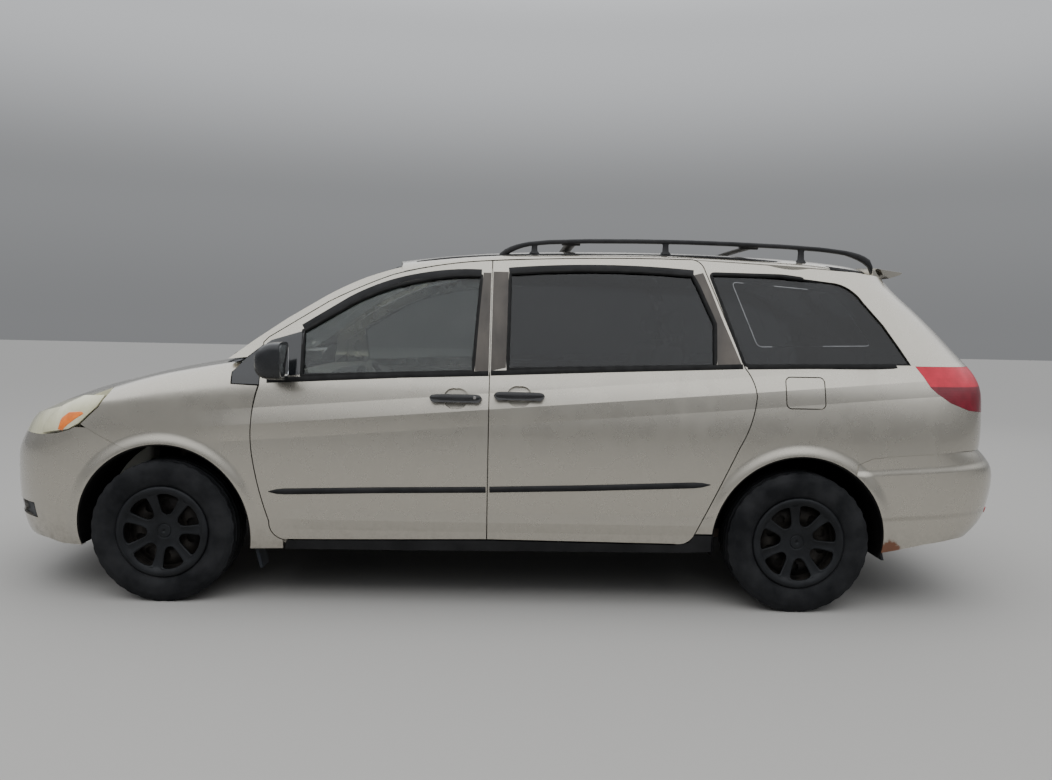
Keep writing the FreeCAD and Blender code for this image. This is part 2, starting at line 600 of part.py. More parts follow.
top_rows = [[V(x, y, roof_height(x, y)) for y in (-600, -520, -400, -200, 0, 200, 400, 520, 600)]
            for x in (1850, 1920, 1990, 2060)]
gate_top = skin(top_rows)
behind_hinge = box(TAILGATE_HINGE_X + SHUT_GAP / 2, 2700, -900, 900, 600, 1900)
gate_inner_shape = outline(TAILGATE, "yz", -FLANGE).translated(V(1500, 0, 0)).extrude(V(1200, 0, 0))
gate_skin = tail_face.extrude(V(-SKIN, 0, 0)).common(tailgate_shape)
gate_inner = tail_face.translated(V(-SKIN / 2, 0, 0)).extrude(V(SKIN / 2 - TAILGATE_DEPTH, 0, 0))
gate_skin = fused([gate_skin, gate_inner.common(gate_inner_shape)]).common(behind_hinge)
gate_skin = gate_skin.cut(gate_top.extrude(V(0, 0, 300)))
gate_lip = gate_top.extrude(V(0, 0, -ROOF_DEPTH)).common(behind_hinge.common(box(1800, 2050, -900, 900, 1400, 1900)))
gate_lip = gate_lip.common(tailgate_shape).cut(behind_tail)
spoiler = outline(SPOILER).translated(V(0, -SPOILER_HALF, 0)).extrude(V(0, 2 * SPOILER_HALF, 0))
spoiler = spoiler.common(gate_top.translated(V(0, 0, SPOILER_RISE)).extrude(V(0, 0, -120)))
tailgate = fused([gate_skin, gate_lip, spoiler])
rear_window_prism = outline(REAR_WINDOW, "yz").translated(V(1600, 0, 0)).extrude(V(1100, 0, 0))
PLATE_HOLES_Y = 89.0
PLATE_HOLES_Z = 1000.0
PLATE_HOLE_RADIUS = 3.25
plate_holes = [rod(V(2300, y, PLATE_HOLES_Z), V(2500, y, PLATE_HOLES_Z), PLATE_HOLE_RADIUS)
               for y in (-PLATE_HOLES_Y, PLATE_HOLES_Y)]
tailgate = tailgate.cut(rear_window_prism).cut(plate_holes[0].fuse(plate_holes[1]))
export("tailgate", tailgate)
rear_glass_prism = outline(REAR_WINDOW, "yz", -SEAT_GAP).translated(V(1600, 0, 0)).extrude(V(1100, 0, 0))
tailgate_glass = tail_face.translated(V(-12, 0, 0)).extrude(V(-GLASS, 0, 0)).common(rear_glass_prism)
export("tailgate_glass", tailgate_glass)

REAR_BUMPER_START = 1900.0
REAR_BUMPER_POWER = 3.8
REAR_BUMPER_SIDE = [(1600, 288), (1846, 290), (1915, 303), (2051, 336), (2200, 358), (2700, 372), (2700, 789),
                    (2211, 789), (2053, 789), (1600, 789)]


def rear_bumper_point(z, column):
    if column <= 90:
        return end_point(z, column, rear_bumper_at(z), REAR_BUMPER_START, REAR_BUMPER_POWER)
    x = REAR_BUMPER_START - (column - 90)
    return V(x, -straight_width(x, z), z)


rear_columns = nose_angles + [90 + 140, 90 + 290]
left_rear_face = skin([[rear_bumper_point(z, column) for column in rear_columns] for z, _ in REAR_BUMPER])
half_rear = left_rear_face.extrude(V(-34, 32, 0)).common(side_prism(REAR_BUMPER_SIDE, far=0.0))
half_rear = half_rear.cut(side_prism(QUARTER, FIT - SHUT_GAP / 2, far=20.0)).cut(arch(REAR_AXLE_X, far=20.0))
rear_bumper = fused([half_rear, mirrored(half_rear)])
export("rear_bumper", rear_bumper)


# Floor, bulkhead and cowl
FLOOR_UNDER = FLOOR_TOP - FLOOR_PLATE
DASH_X = -1150.0
BULKHEAD = 22.0
FLOOR_REAR_HALF = 675.0
SHELF_TOP = 1100.0
rear_floor = outline([(1875, -780), (2190, -760), (2280, -690), (2340, -565), (2340, 565), (2280, 690), (2190, 760), (1875, 780)], "xy")
rear_floor = rear_floor.translated(V(0, 0, FLOOR_UNDER)).extrude(V(0, 0, FLOOR_PLATE))
rear_panel = box(2310, 2340, -560, 560, FLOOR_UNDER, 880)
buffer_space = tail_face.translated(V(-TAILGATE_DEPTH - SEAT_GAP, 0, 0)).extrude(V(-120, 0, 0))
gate_buffers = [buffer_space.common(rod(V(2320, y, 850), V(2500, y, 850), 12)) for y in (-420, 420)]
floor_pan = fused([box(DASH_X, 985, -FLOOR_HALF, FLOOR_HALF, FLOOR_UNDER, FLOOR_TOP),
                   box(980, 1880, -FLOOR_REAR_HALF, FLOOR_REAR_HALF, FLOOR_UNDER, FLOOR_TOP),
                   rear_floor, rear_panel] + gate_buffers)
export("floor_pan", floor_pan)

bulkhead = fused([box(DASH_X - BULKHEAD, DASH_X, -790, 790, FLOOR_UNDER, SHELF_TOP),
                  box(-1300, DASH_X, -780, 780, SHELF_TOP - 60, SHELF_TOP)])
export("bulkhead", bulkhead)

cowl = hood_face.translated(V(0, 0, -10)).extrude(V(0, 0, -120)).common(box(-1460, -1240, -776, 776, SHELF_TOP, 1300))
cowl = cowl.cut(hood_outline(SHUT_GAP / 2)).cut(screen_space)
export("cowl", cowl)

# Rails, strut towers and the radiator support under the hood
RAIL_IN = 410.0
RAIL_OUT = 490.0
RAIL_LOW = 420.0
RAIL_HIGH = 540.0
TOWER_LOW = 800.0
RADIATOR_X = -2330.0
RADIATOR_LOW = 300.0
RADIATOR_HIGH = 800.0
BEAM = 60.0
TOWER_PLATE = 90.0
TOWER_FRONT = -1690.0
TOWER_REAR = -1510.0
TOWER_OUT = 690.0
HOOD_REST_Y = 350.0
STEER_FOOT = (735.0, 215.0)
STEER_LEAN = 0.2061


def steer_point(z, side=-1):
    """A point of the steering axis at height z."""
    return V(FRONT_AXLE_X, side * (STEER_FOOT[0] - (z - STEER_FOOT[1]) * STEER_LEAN), z)


def steer_rod(low_z, high_z, radius):
    return rod(steer_point(low_z), steer_point(high_z), radius)


hood_under = hood_face.translated(V(0, 0, -22 - SEAT_GAP)).extrude(V(0, 0, -220))
rail_front = RADIATOR_X - 52
structure = [box(RADIATOR_X, RADIATOR_X + 40, -RAIL_IN - 10, RAIL_IN + 10, RADIATOR_LOW, RADIATOR_HIGH),
             box(rail_front + 2 - BEAM, rail_front + 2, -RAIL_OUT - 10, RAIL_OUT + 10, RAIL_LOW + 20, RAIL_HIGH - 20)]
for side in (-1, 1):
    inner, outer = sorted([side * RAIL_IN, side * RAIL_OUT])
    structure.append(box(rail_front, DASH_X - BULKHEAD, inner, outer, RAIL_LOW, RAIL_HIGH))
    inner, outer = sorted([side * (RAIL_OUT - 20), side * RAIL_OUT])
    structure.append(box(TOWER_FRONT, TOWER_REAR, inner, outer, RAIL_HIGH - 5, TOWER_LOW + 10))
    inner, outer = sorted([side * (RAIL_OUT - 20), side * TOWER_OUT])
    structure.append(box(TOWER_FRONT, TOWER_REAR, inner, outer, TOWER_LOW, TOWER_LOW + TOWER_PLATE))
    rest = rod(V(RADIATOR_X + 20, side * HOOD_REST_Y, RADIATOR_HIGH - 10), V(RADIATOR_X + 20, side * HOOD_REST_Y, 1000), 12)
    structure.append(hood_under.common(rest))
export("front_structure", fused(structure))

engine = fused([box(-2100, -1560, -330, 330, FLOOR_UNDER, 820), box(-2060, -1640, -280, 200, 815, 880)])
export("engine_block", engine)

# Front subframe with its arms and ball pins, and the struts
BALL_PIN = 11.0
BALL_BORE = 11.5
STRUT = 25.0
STRUT_BORE = 25.5
STRUT_FOOT = 465.0
SPRING = 55.0
SPRING_LOW = 705.0
ARM_LOW = 195.0
ARM_HIGH = 225.0
SPINDLE = 30.0
HUB_BORE = 30.5
cradle = [box(-1700, -1450, -RAIL_OUT, RAIL_OUT, 215, FLOOR_UNDER)]
for side in (-1, 1):
    inner, outer = sorted([side * (RAIL_IN + 10), side * RAIL_OUT])
    cradle.append(box(-1700, -1450, inner, outer, FLOOR_UNDER - 5, RAIL_LOW))
arm = outline([(-1690, -470), (-1460, -470), (-1560, -740), (-1600, -755, -1640, -740)], "xy")
arm = arm.translated(V(0, 0, ARM_LOW)).extrude(V(0, 0, ARM_HIGH - ARM_LOW))
arm = fused([arm, steer_rod(ARM_LOW + 10, 262, BALL_PIN)])
export("front_subframe", fused(cradle + [arm, mirrored(arm)]))

strut = fused([steer_rod(STRUT_FOOT + 5, SPRING_LOW + 20, STRUT), steer_rod(SPRING_LOW, TOWER_LOW + 30, SPRING)])
strut = strut.common(box(-1800, -1400, -900, -400, 300, TOWER_LOW - SEAT_GAP))
export("front_struts", Part.makeCompound([strut, mirrored(strut)]))

# Steered knuckles
upright = outline([(-752, 232), (-712, 232), (-655, 470), (-715, 470)], "yz")
upright = upright.translated(V(FRONT_AXLE_X - 28, 0, 0)).extrude(V(56, 0, 0))
front_hub_y = -FRONT_TRACK / 2
spindle = rod(V(FRONT_AXLE_X, -705, TYRE_RADIUS), V(FRONT_AXLE_X, front_hub_y + 17, TYRE_RADIUS), SPINDLE)
knuckle = fused([upright, steer_rod(440, 540, 38), spindle])
knuckle = knuckle.cut(steer_rod(STRUT_FOOT, 600, STRUT_BORE)).cut(steer_rod(200, 268, BALL_BORE))
both_sides("knuckle", knuckle)

# Rear axle beam on trailing arms
REAR_BEAM = 35.0
REAR_BEAM_Z = 285.0
rear_hub_y = -REAR_TRACK / 2
axle = [rod(V(REAR_AXLE_X, -700, REAR_BEAM_Z), V(REAR_AXLE_X, 700, REAR_BEAM_Z), REAR_BEAM)]
for side in (-1, 1):
    near, far = sorted([side * 688, side * 706])
    axle.append(box(REAR_AXLE_X - 60, REAR_AXLE_X + 60, near, far, 240, 385))
    axle.append(rod(V(REAR_AXLE_X, side * 695, TYRE_RADIUS), V(REAR_AXLE_X, side * (-rear_hub_y - 17), TYRE_RADIUS),
                      SPINDLE))
    near, far = sorted([side * 545, side * 575])
    arm_side = outline([(1020, 290), (1020, FLOOR_UNDER), (1080, FLOOR_UNDER), (1100, 320), (1440, 305), (1440, 265),
                        (1080, 270)])
    axle.append(arm_side.translated(V(0, near, 0)).extrude(V(0, far - near, 0)))
    axle.append(rod(V(REAR_AXLE_X, side * 480, REAR_BEAM_Z), V(REAR_AXLE_X, side * 480, FLOOR_UNDER), 42))
export("rear_axle", fused(axle))


# Wheels: profiles run as (radius, distance outboard of the wheel's middle plane)
RIM = [(0, 20), (HUB_BORE, 20), (HUB_BORE, -57), (60, -57), (60, 20), (190, 20), (190, -95), (215, -95), (215, -87),
       (RIM_RADIUS, -87), (RIM_RADIUS, 87), (215, 87), (215, 95), (190, 95), (190, 30), (0, 30)]
TYRE = [(203.3, -86), (218, -86), (235, -100), (270, -107.5), (300, -105), (325, -98), (335, -91), (340, -80),
        (340, 80), (335, 91), (325, 98), (300, 105), (270, 107.5), (235, 100), (218, 86), (203.3, 86)]
COVER = [(0, 66), (0, 74), (45, 74), (62, 70), (165, 86), (182, 99), (205, 105), (219, 99), (219, 95.3), (188.5, 95.3),
         (184, 91), (170, 79), (62, 62), (50, 66)]
COVER_SPOKES = 7
COVER_WINDOW = [(80, -12), (118, -17), (152, -18.5), (163, -15), (166, 0), (163, 15), (152, 18.5), (118, 17), (80, 12),
                (74, 0)]


def turned(profile):
    """A profile turned about the wheel's axle, its outboard side towards the left."""
    points = [V(radius, -outboard, 0) for radius, outboard in profile]
    face = Part.Face(Part.makePolygon(points + [points[0]]))
    return face.revolve(V(0, 0, 0), V(0, 1, 0), 360)


rim = turned(RIM)
tyre = turned(TYRE)
cover = turned(COVER)
window_points = [V(r * math.cos(math.radians(a)), -200, r * math.sin(math.radians(a))) for r, a in COVER_WINDOW]
window = Part.Face(Part.makePolygon(window_points + [window_points[0]])).extrude(V(0, 400, 0))
for i in range(COVER_SPOKES):
    turn = window.copy()
    turn.rotate(V(0, 0, 0), V(0, 1, 0), 90 + 360.0 * (i + 0.5) / COVER_SPOKES)
    cover = cover.cut(turn)
for end, axle_x, hub_y in [("front", FRONT_AXLE_X, front_hub_y), ("rear", REAR_AXLE_X, rear_hub_y)]:
    place = V(axle_x, hub_y, TYRE_RADIUS)
    both_sides("rim_" + end, rim.translated(place))
    both_sides("tyre_" + end, tyre.translated(place))
    both_sides("wheel_cover_" + end, cover.translated(place))

# Wheel liners and mud flaps
LINER_OUT = ARCH_RADIUS - 0.5
LINER_IN = LINER_OUT - 7.5
LINER_WALL = 8.0
LINER_FOOT = 262.0


def liner(axle_x, inner_y, wall_foot, body_first, body_last):
    inside = side_skin(body_first, body_last, 240.0, 800.0).translated(V(0, 3, 0)).extrude(V(0, 700, 0))
    ring = arch(axle_x, LINER_OUT, -1000.0, -inner_y).cut(arch(axle_x, LINER_IN, -1000.0, -inner_y))
    ring = ring.common(inside).common(box(axle_x - 500, axle_x + 500, -1000, 0, LINER_FOOT, 900))
    wall = arch(axle_x, LINER_OUT, -inner_y - LINER_WALL, -inner_y)
    wall = wall.common(box(axle_x - 500, axle_x + 500, -1000, 0, wall_foot, 900))
    return fused([ring, wall])


front_liner = liner(FRONT_AXLE_X, RAIL_OUT, 430.0, -2060.0, -1140.0).cut(steer_rod(600, 860, SPRING + 7))
rear_liner = liner(REAR_AXLE_X, FLOOR_REAR_HALF, 390.0, 970.0, 1880.0)
export("wheel_liners_front", Part.makeCompound([front_liner, mirrored(front_liner)]))
export("wheel_liners_rear", Part.makeCompound([rear_liner, mirrored(rear_liner)]))

FRONT_FLAP = [(-1190, 392), (-1155, 392), (-1155, 262), (-1135, 165), (-1148, 165), (-1172, 262)]
REAR_FLAP = [(1840, 410), (1862, 410), (1862, 330), (1884, 240), (1872, 240), (1850, 330)]
front_flap = side_prism(FRONT_FLAP, near=-895.0, far=-795.0).cut(arch(FRONT_AXLE_X))
rear_flap = side_prism(REAR_FLAP, near=-862.0, far=-760.0).cut(arch(REAR_AXLE_X))
flaps = [front_flap, rear_flap]
export("mud_flaps", Part.makeCompound(flaps + [mirrored(one) for one in flaps]))

# Sill covers
SILL_COVER = [(-1022, 268), (-1010, 312), (-60, 328), (835, 320), (905, 334), (925, 370), (1015, 370), (1025, 290),
              (900, 283)]
sill_face = side_skin(-1040, 1040, 240.0, 420.0)
sill_cover = sill_face.extrude(V(0, DOOR_DEPTH + SEAL - SEAT_GAP, 0)).common(side_prism(SILL_COVER))
sill_cover = sill_cover.cut(arch(REAR_AXLE_X)).cut(box(-1200, 1100, -SILL_OUT - SEAT_GAP, 0, 200, 420))
export("sill_covers", Part.makeCompound([sill_cover, mirrored(sill_cover)]))

# Fuel tank and exhaust under the floor
tank = box(150, 850, -560, 180, 205, FLOOR_UNDER)
tank = tank.makeFillet(28, [edge for edge in tank.Edges if abs(edge.Vertexes[0].Z - edge.Vertexes[1].Z) > 1])
export("fuel_tank", tank)

EXHAUST_Y = 300.0
exhaust = fused([rod(V(-1000, EXHAUST_Y, 215), V(1640, EXHAUST_Y, 215), 25),
                 rod(V(1600, EXHAUST_Y, 240), V(2060, EXHAUST_Y, 240), 85),
                 rod(V(2040, EXHAUST_Y, 240), V(2360, EXHAUST_Y, 250), 25),
                 box(-510, -490, EXHAUST_Y - 15, EXHAUST_Y + 15, 220, FLOOR_UNDER),
                 box(1800, 1830, EXHAUST_Y - 15, EXHAUST_Y + 15, 300, FLOOR_UNDER)])
export("exhaust", exhaust)

# Dashboard with the steering wheel
DASH = [(-1150, 760), (-1150, 1080), (-960, 1092), (-760, 1050), (-705, 990), (-720, 880), (-820, 790)]
DASH_HALF = 712.0
dash_block = outline(DASH).translated(V(0, -DASH_HALF, 0)).extrude(V(0, 2 * DASH_HALF, 0))
WHEEL_AT = V(-640, -370, 975)
WHEEL_LEAN = V(math.cos(math.radians(25)), 0, math.sin(math.radians(25)))
ring = Part.makeTorus(178, 15, WHEEL_AT, WHEEL_LEAN)
boss = rod(WHEEL_AT - WHEEL_LEAN * 30, WHEEL_AT + WHEEL_LEAN * 12, 62)
column = rod(WHEEL_AT - WHEEL_LEAN * 150, WHEEL_AT, 38)
SPOKE_UP = V(-WHEEL_LEAN.z, 0, WHEEL_LEAN.x)
spokes = [rod(WHEEL_AT, WHEEL_AT + V(0, 1, 0) * 172, 13), rod(WHEEL_AT, WHEEL_AT - V(0, 1, 0) * 172, 13),
          rod(WHEEL_AT, WHEEL_AT - SPOKE_UP * 172, 13)]
export("dashboard", fused([dash_block, ring, boss, column] + spokes))

# Seats: two in front, two behind them and a bench
SEAT = [(60, 400), (60, 590), (-60, 610), (-68, 700), (-56, 735, -20, 745), (380, 705), (395, 690, 400, 710), (510, 1290),
        (520, 1310), (505, 1430), (540, 1450, 580, 1430), (600, 1310), (610, 1290), (510, 640), (440, 600), (440, 400)]
SEAT_WIDTH = 500.0
# Each seat: front x, near side y, width
SEATS = [(-620, -650, SEAT_WIDTH), (-620, 150, SEAT_WIDTH), (330, -640, SEAT_WIDTH), (330, 140, SEAT_WIDTH),
         (1230, -620, 1240)]
seat_face = outline(SEAT)
seats = [seat_face.translated(V(x, y, 0)).extrude(V(0, width, 0)) for x, y, width in SEATS]
export("seats", Part.makeCompound(seats))

# Mirrors on the front doors
MIRROR_SIDE = [(-990, 1130), (-990, 1240), (-993, 1253, -1008, 1257), (-1080, 1257), (-1112, 1246, -1121, 1215),
               (-1119, 1170), (-1105, 1118, -1068, 1088), (-1040, 1081, -1010, 1088), (-994, 1102, -990, 1130)]
MIRROR_PLAN = [(-988, -964), (-1060, -962), (-1110, -976, -1122, -1020), (-1119, -1070), (-1106, -1113, -1065, -1128),
               (-988, -1130)]
mirror_case = outline(MIRROR_SIDE).translated(V(0, -1140, 0)).extrude(V(0, 200, 0))
mirror_case = mirror_case.common(outline(MIRROR_PLAN, "xy").translated(V(0, 0, 1000)).extrude(V(0, 0, 300)))
mirror_arm = box(-1105, -1020, -990, -860, 1088, 1124)
mirror_face = side_skin(-1200, -900, 1030.0, 1300.0).translated(V(0, -SEAT_GAP, 0))
mirror = fused([mirror_case, mirror_arm]).cut(mirror_face.extrude(V(0, 300, 0)))
both_sides("mirror", mirror)

# Roof rack: side rails with their feet, and two crossbars
RACK_Y = 615.0
RACK_WIDTH = 40.0
RACK_RAIL = [(-48, 1650), (-48, 1716), (-30, 1756, 25, 1772), (150, 1790, 420, 1797), (900, 1802, 1400, 1794),
             (1640, 1782, 1790, 1752), (1850, 1730, 1862, 1690), (1862, 1600)]
RACK_HOLES = [[(70, 1600), (70, 1738), (160, 1748), (160, 1600)], [(225, 1600), (225, 1757), (775, 1765), (775, 1600)],
              [(840, 1600), (840, 1766), (1455, 1756), (1455, 1600)], [(1520, 1600), (1520, 1752), (1720, 1735),
                                                                        (1760, 1600)]]
CROSSBARS = [330.0, 1230.0]
rail = outline(RACK_RAIL).translated(V(0, -RACK_Y - RACK_WIDTH / 2, 0)).extrude(V(0, RACK_WIDTH, 0))
for hole in RACK_HOLES:
    rail = rail.cut(side_prism(hole))
rail = rail.cut(roof_face.translated(V(0, 0, SEAT_GAP)).extrude(V(0, 0, -400)))
rail = largest(rail.cut(quarter))
bars = [box(x - 35, x + 35, -RACK_Y + 15, RACK_Y - 15, 1768, 1788) for x in CROSSBARS]
export("roof_rack", fused([rail, mirrored(rail)] + bars))
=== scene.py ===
import math

import bmesh
import bpy
from mathutils import Matrix, Vector


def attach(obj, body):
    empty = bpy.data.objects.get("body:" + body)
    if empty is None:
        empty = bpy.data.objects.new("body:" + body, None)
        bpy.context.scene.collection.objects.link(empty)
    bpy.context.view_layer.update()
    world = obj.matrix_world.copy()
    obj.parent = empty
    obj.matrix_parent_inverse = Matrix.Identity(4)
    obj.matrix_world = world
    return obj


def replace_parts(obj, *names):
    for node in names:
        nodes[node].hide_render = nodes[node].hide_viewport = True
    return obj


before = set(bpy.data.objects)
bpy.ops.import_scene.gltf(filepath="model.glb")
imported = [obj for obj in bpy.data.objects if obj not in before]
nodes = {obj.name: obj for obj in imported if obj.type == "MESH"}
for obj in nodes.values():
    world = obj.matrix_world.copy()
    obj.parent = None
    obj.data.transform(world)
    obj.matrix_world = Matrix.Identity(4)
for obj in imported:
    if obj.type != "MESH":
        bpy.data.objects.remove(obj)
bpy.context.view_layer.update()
scene = bpy.context.scene

# Lengths below are in millimetres, in the frame of the CAD model; MM turns them into metres.
MM = 0.001
SIDES = ("left", "right")
FRONT_AXLE_X = -1600.0
REAR_AXLE_X = 1430.0
FRONT_HUB_Y = -832.0
REAR_HUB_Y = -849.5
AXLE_Z = 340.0
ARCH_RADIUS = 420.0

# Camera: place in metres, angles in degrees, focal length and width of the picture in pixels
CAMERA_AT = Vector((0.0525, -4.783, 1.352))
CAMERA_PITCH = 4.5
CAMERA_ROLL = 1.18
CAMERA_TURN = 0.9
FOCAL_PIXELS = 821.0
PICTURE_WIDTH = 1052.0
SENSOR_WIDTH = 36.0

# Body side at mid length: height, half width
SIDE = [(200, 905), (260, 930), (330, 948), (450, 962), (600, 971), (750, 972), (900, 963), (1000, 946),
        (1060, 932), (1120, 912), (1250, 866), (1400, 806), (1550, 742), (1640, 702), (1720, 664)]
# Centre lines of the ends: height, x
NOSE = [(740, -2505), (800, -2478), (860, -2430), (920, -2335), (972, -2190), (1010, -2080), (1050, -1990)]
FRONT_BUMPER = [(225, -2445), (290, -2505), (380, -2530), (480, -2540), (600, -2540), (700, -2528),
                (770, -2492), (830, -2455)]
TAIL = [(740, 2428), (860, 2440), (985, 2445), (1080, 2445), (1150, 2422), (1230, 2358), (1340, 2262),
        (1450, 2158), (1560, 2046), (1640, 1985), (1720, 1955)]
REAR_BUMPER = [(270, 2350), (360, 2420), (430, 2490), (520, 2525), (613, 2540), (694, 2532), (738, 2500),
               (790, 2442)]
# Windscreen from its base up: side x, side z, half width, centre x, centre z
WINDSCREEN = [(-1290, 1172, 832, -1405, 1142), (-1040, 1352, 762, -1150, 1350), (-866, 1464, 722, -965, 1475),
              (-680, 1562, 686, -760, 1596), (-520, 1618, 655, -580, 1668)]
# Where the roundings of nose, tail and rear bumper start, and how square they are in plan
NOSE_START = -1750.0
NOSE_POWER = 2.9
TAIL_RUN = 540.0
TAIL_POWER = 4.3
REAR_BUMPER_START = 1900.0
REAR_BUMPER_POWER = 3.8
# The side narrows ahead of and behind these places, over these lengths
SIDE_END_X = 2050.0
FRONT_TAPER = (500.0, 700.0)
UPPER_FRONT_TAPER = (300.0, 800.0)
REAR_TAPER = (900.0, 1000.0)
UPPER_START_Z, UPPER_HEIGHT = 1050.0, 600.0
# Height where the tail's curve ends
TAIL_LOW_Z = 740.0

# Creases in the side's paint: height of the line, how far it stands out and how far it reaches up and down
SHOULDER_Z = 960.0
SHOULDER_RISE = 0.08
SHOULDER_OUT = 6.5
SHOULDER_REACH = 75.0
SILL_FOLD_Z = 418.0
SILL_FOLD_OUT = 6.0
SILL_FOLD_REACH = 48.0


# Shape of the body
def smooth(rows):
    """A monotone cubic curve through a table's rows, as a function of its first column."""
    xs = [float(row[0]) for row in rows]
    ys = [float(row[1]) for row in rows]
    count = len(xs)
    slope = [(ys[i + 1] - ys[i]) / (xs[i + 1] - xs[i]) for i in range(count - 1)]
    tangent = [slope[0]]
    for before, after in zip(slope, slope[1:]):
        tangent.append(2 * before * after / (before + after) if before * after > 0 else 0.0)
    tangent.append(slope[-1])

    def value(x):
        if x <= xs[0]:
            return ys[0] + tangent[0] * (x - xs[0])
        if x >= xs[-1]:
            return ys[-1] + tangent[-1] * (x - xs[-1])
        i = max(k for k in range(count - 1) if xs[k] <= x)
        run = xs[i + 1] - xs[i]
        t = (x - xs[i]) / run
        keep = (1 + 2 * t) * (1 - t) ** 2
        return (keep * ys[i] + (1 - keep) * ys[i + 1]
                + run * t * (1 - t) * ((1 - t) * tangent[i] - t * tangent[i + 1]))

    return value


side_at = smooth(SIDE)
nose_at = smooth(NOSE)
front_bumper_at = smooth(FRONT_BUMPER)
tail_at = smooth(TAIL)
rear_bumper_at = smooth(REAR_BUMPER)


def straight_width(x, z):
    """Half width of the body side without the rounding of nose and tail."""
    x = max(NOSE_START, min(x, SIDE_END_X))
    upper = min(1.0, max(0.0, (z - UPPER_START_Z) / UPPER_HEIGHT))
    front = max(0.0, -x - FRONT_TAPER[0]) / FRONT_TAPER[1]
    front_upper = max(0.0, -x - UPPER_FRONT_TAPER[0]) / UPPER_FRONT_TAPER[1]
    rear = max(0.0, x - REAR_TAPER[0]) / REAR_TAPER[1]
    width = side_at(z) - 14 * front ** 2 - 30 * front_upper ** 2 * upper
    return width - 30 * rear ** 2 - 45 * rear ** 2 * upper


def rounded(share, power):
    return max(0.0, 1 - max(0.0, share) ** power) ** (1 / power)


def side_surface(x, z):
    """The left body side over a place in side view."""
    width = straight_width(x, z)
    if x < NOSE_START:
        reach = front_bumper_at(z) if z < 800 else nose_at(z)
        width *= rounded((NOSE_START - x) / (NOSE_START - reach), NOSE_POWER)
    tail_start = tail_at(max(z, TAIL_LOW_Z)) - TAIL_RUN
    if x > tail_start:
        width *= rounded((x - tail_start) / TAIL_RUN, TAIL_POWER)
    return Vector((x, -width, z))


def tail_surface(y, z):
    """The rounded tail over a place in rear view."""
    reach = tail_at(max(z, TAIL_LOW_Z))
    start = reach - TAIL_RUN
    return Vector((start + TAIL_RUN * rounded(abs(y) / straight_width(start, z), TAIL_POWER), y, z))


def rear_bumper_surface(y, z):
    run = rear_bumper_at(z) - REAR_BUMPER_START
    share = abs(y) / straight_width(REAR_BUMPER_START, z)
    return Vector((REAR_BUMPER_START + run * rounded(share, REAR_BUMPER_POWER), y, z))


def front_surface(y, z):
    """The front bumper and the nose over it, over a place in front view."""
    reach = front_bumper_at(z) if z < 790 else nose_at(z)
    run = NOSE_START - reach
    return Vector((NOSE_START - run * rounded(abs(y) / straight_width(NOSE_START, z), NOSE_POWER), y, z))


screen_curves = [smooth([(i, row[k]) for i, row in enumerate(WINDSCREEN)]) for k in range(5)]


def screen_surface(y, row):
    """The windscreen's outer face: a place across it, and a row of its table."""
    side_x, side_z, width, centre_x, centre_z = [curve(row) for curve in screen_curves]
    bow = 1 - (y / width) ** 2
    return Vector((side_x + (centre_x - side_x) * bow, y, side_z + (centre_z - side_z) * bow))


# Outwards is away from this point
BODY_MIDDLE = Vector((0.0, 0.0, 800.0))


def raised(surface, u, v, out, step=1.0, step_v=None):
    """The surface's point, moved outwards along its normal by out."""
    step_v = step_v or step
    point = surface(u, v)
    if not out:
        return point
    along_u = surface(u + step, v) - surface(u - step, v)
    along_v = surface(u, v + step_v) - surface(u, v - step_v)
    normal = along_u.cross(along_v).normalized()
    if normal.dot(point - BODY_MIDDLE) < 0:
        normal = -normal
    return point + normal * out


# Outlines in side view: a point (x, z), or (mid x, mid z, x, z) for an arc that ends there
FRONT_WINDOW = [(-140, 1130), (-112, 1590), (-265, 1586, -409, 1560), (-537, 1528, -735, 1441), (-955, 1305),
                (-946, 1098)]
SLIDING_WINDOW = [(25, 1146), (29, 1606), (480, 1630, 926, 1614), (954, 1556), (1023, 1378), (1013, 1178)]
QUARTER_WINDOW = [(1156, 1182), (1015, 1624), (1379, 1622), (1640, 1592), (1700, 1570, 1770, 1500),
                  (1858, 1388), (1927, 1274), (1972, 1196)]


def arc(start, middle, end, count):
    """Points of the circle from start through middle to end, without the first."""
    ax, ay = start
    bx, by = middle
    cx, cy = end
    turn = 2 * (ax * (by - cy) + bx * (cy - ay) + cx * (ay - by))
    a2, b2, c2 = ax * ax + ay * ay, bx * bx + by * by, cx * cx + cy * cy
    ux = (a2 * (by - cy) + b2 * (cy - ay) + c2 * (ay - by)) / turn
    uy = (a2 * (cx - bx) + b2 * (ax - cx) + c2 * (bx - ax)) / turn
    radius = math.hypot(ax - ux, ay - uy)
    first = math.atan2(ay - uy, ax - ux)
    mid = (math.atan2(by - uy, bx - ux) - first) % math.tau
    last = (math.atan2(cy - uy, cx - ux) - first) % math.tau
    if mid > last:
        last -= math.tau
    angles = [first + last * i / count for i in range(1, count + 1)]
    return [(ux + radius * math.cos(angle), uy + radius * math.sin(angle)) for angle in angles]


def trace(outline, pitch=40.0, closed=True):
    """The outline as points that are at most a pitch apart."""
    points = [tuple(map(float, outline[0]))]
    rows = list(outline[1:]) + ([outline[0]] if closed else [])
    for row in rows:
        start, end = points[-1], row[-2:]
        if len(row) == 4:
            chord = math.dist(start, row[:2]) + math.dist(row[:2], end)
            points += arc(start, row[:2], end, max(3, round(1.1 * chord / pitch)))
        else:
            count = max(1, math.ceil(math.dist(start, end) / pitch))
            run, rise = end[0] - start[0], end[1] - start[1]
            points += [(start[0] + run * i / count, start[1] + rise * i / count) for i in range(1, count + 1)]
    return points[:-1] if closed else points


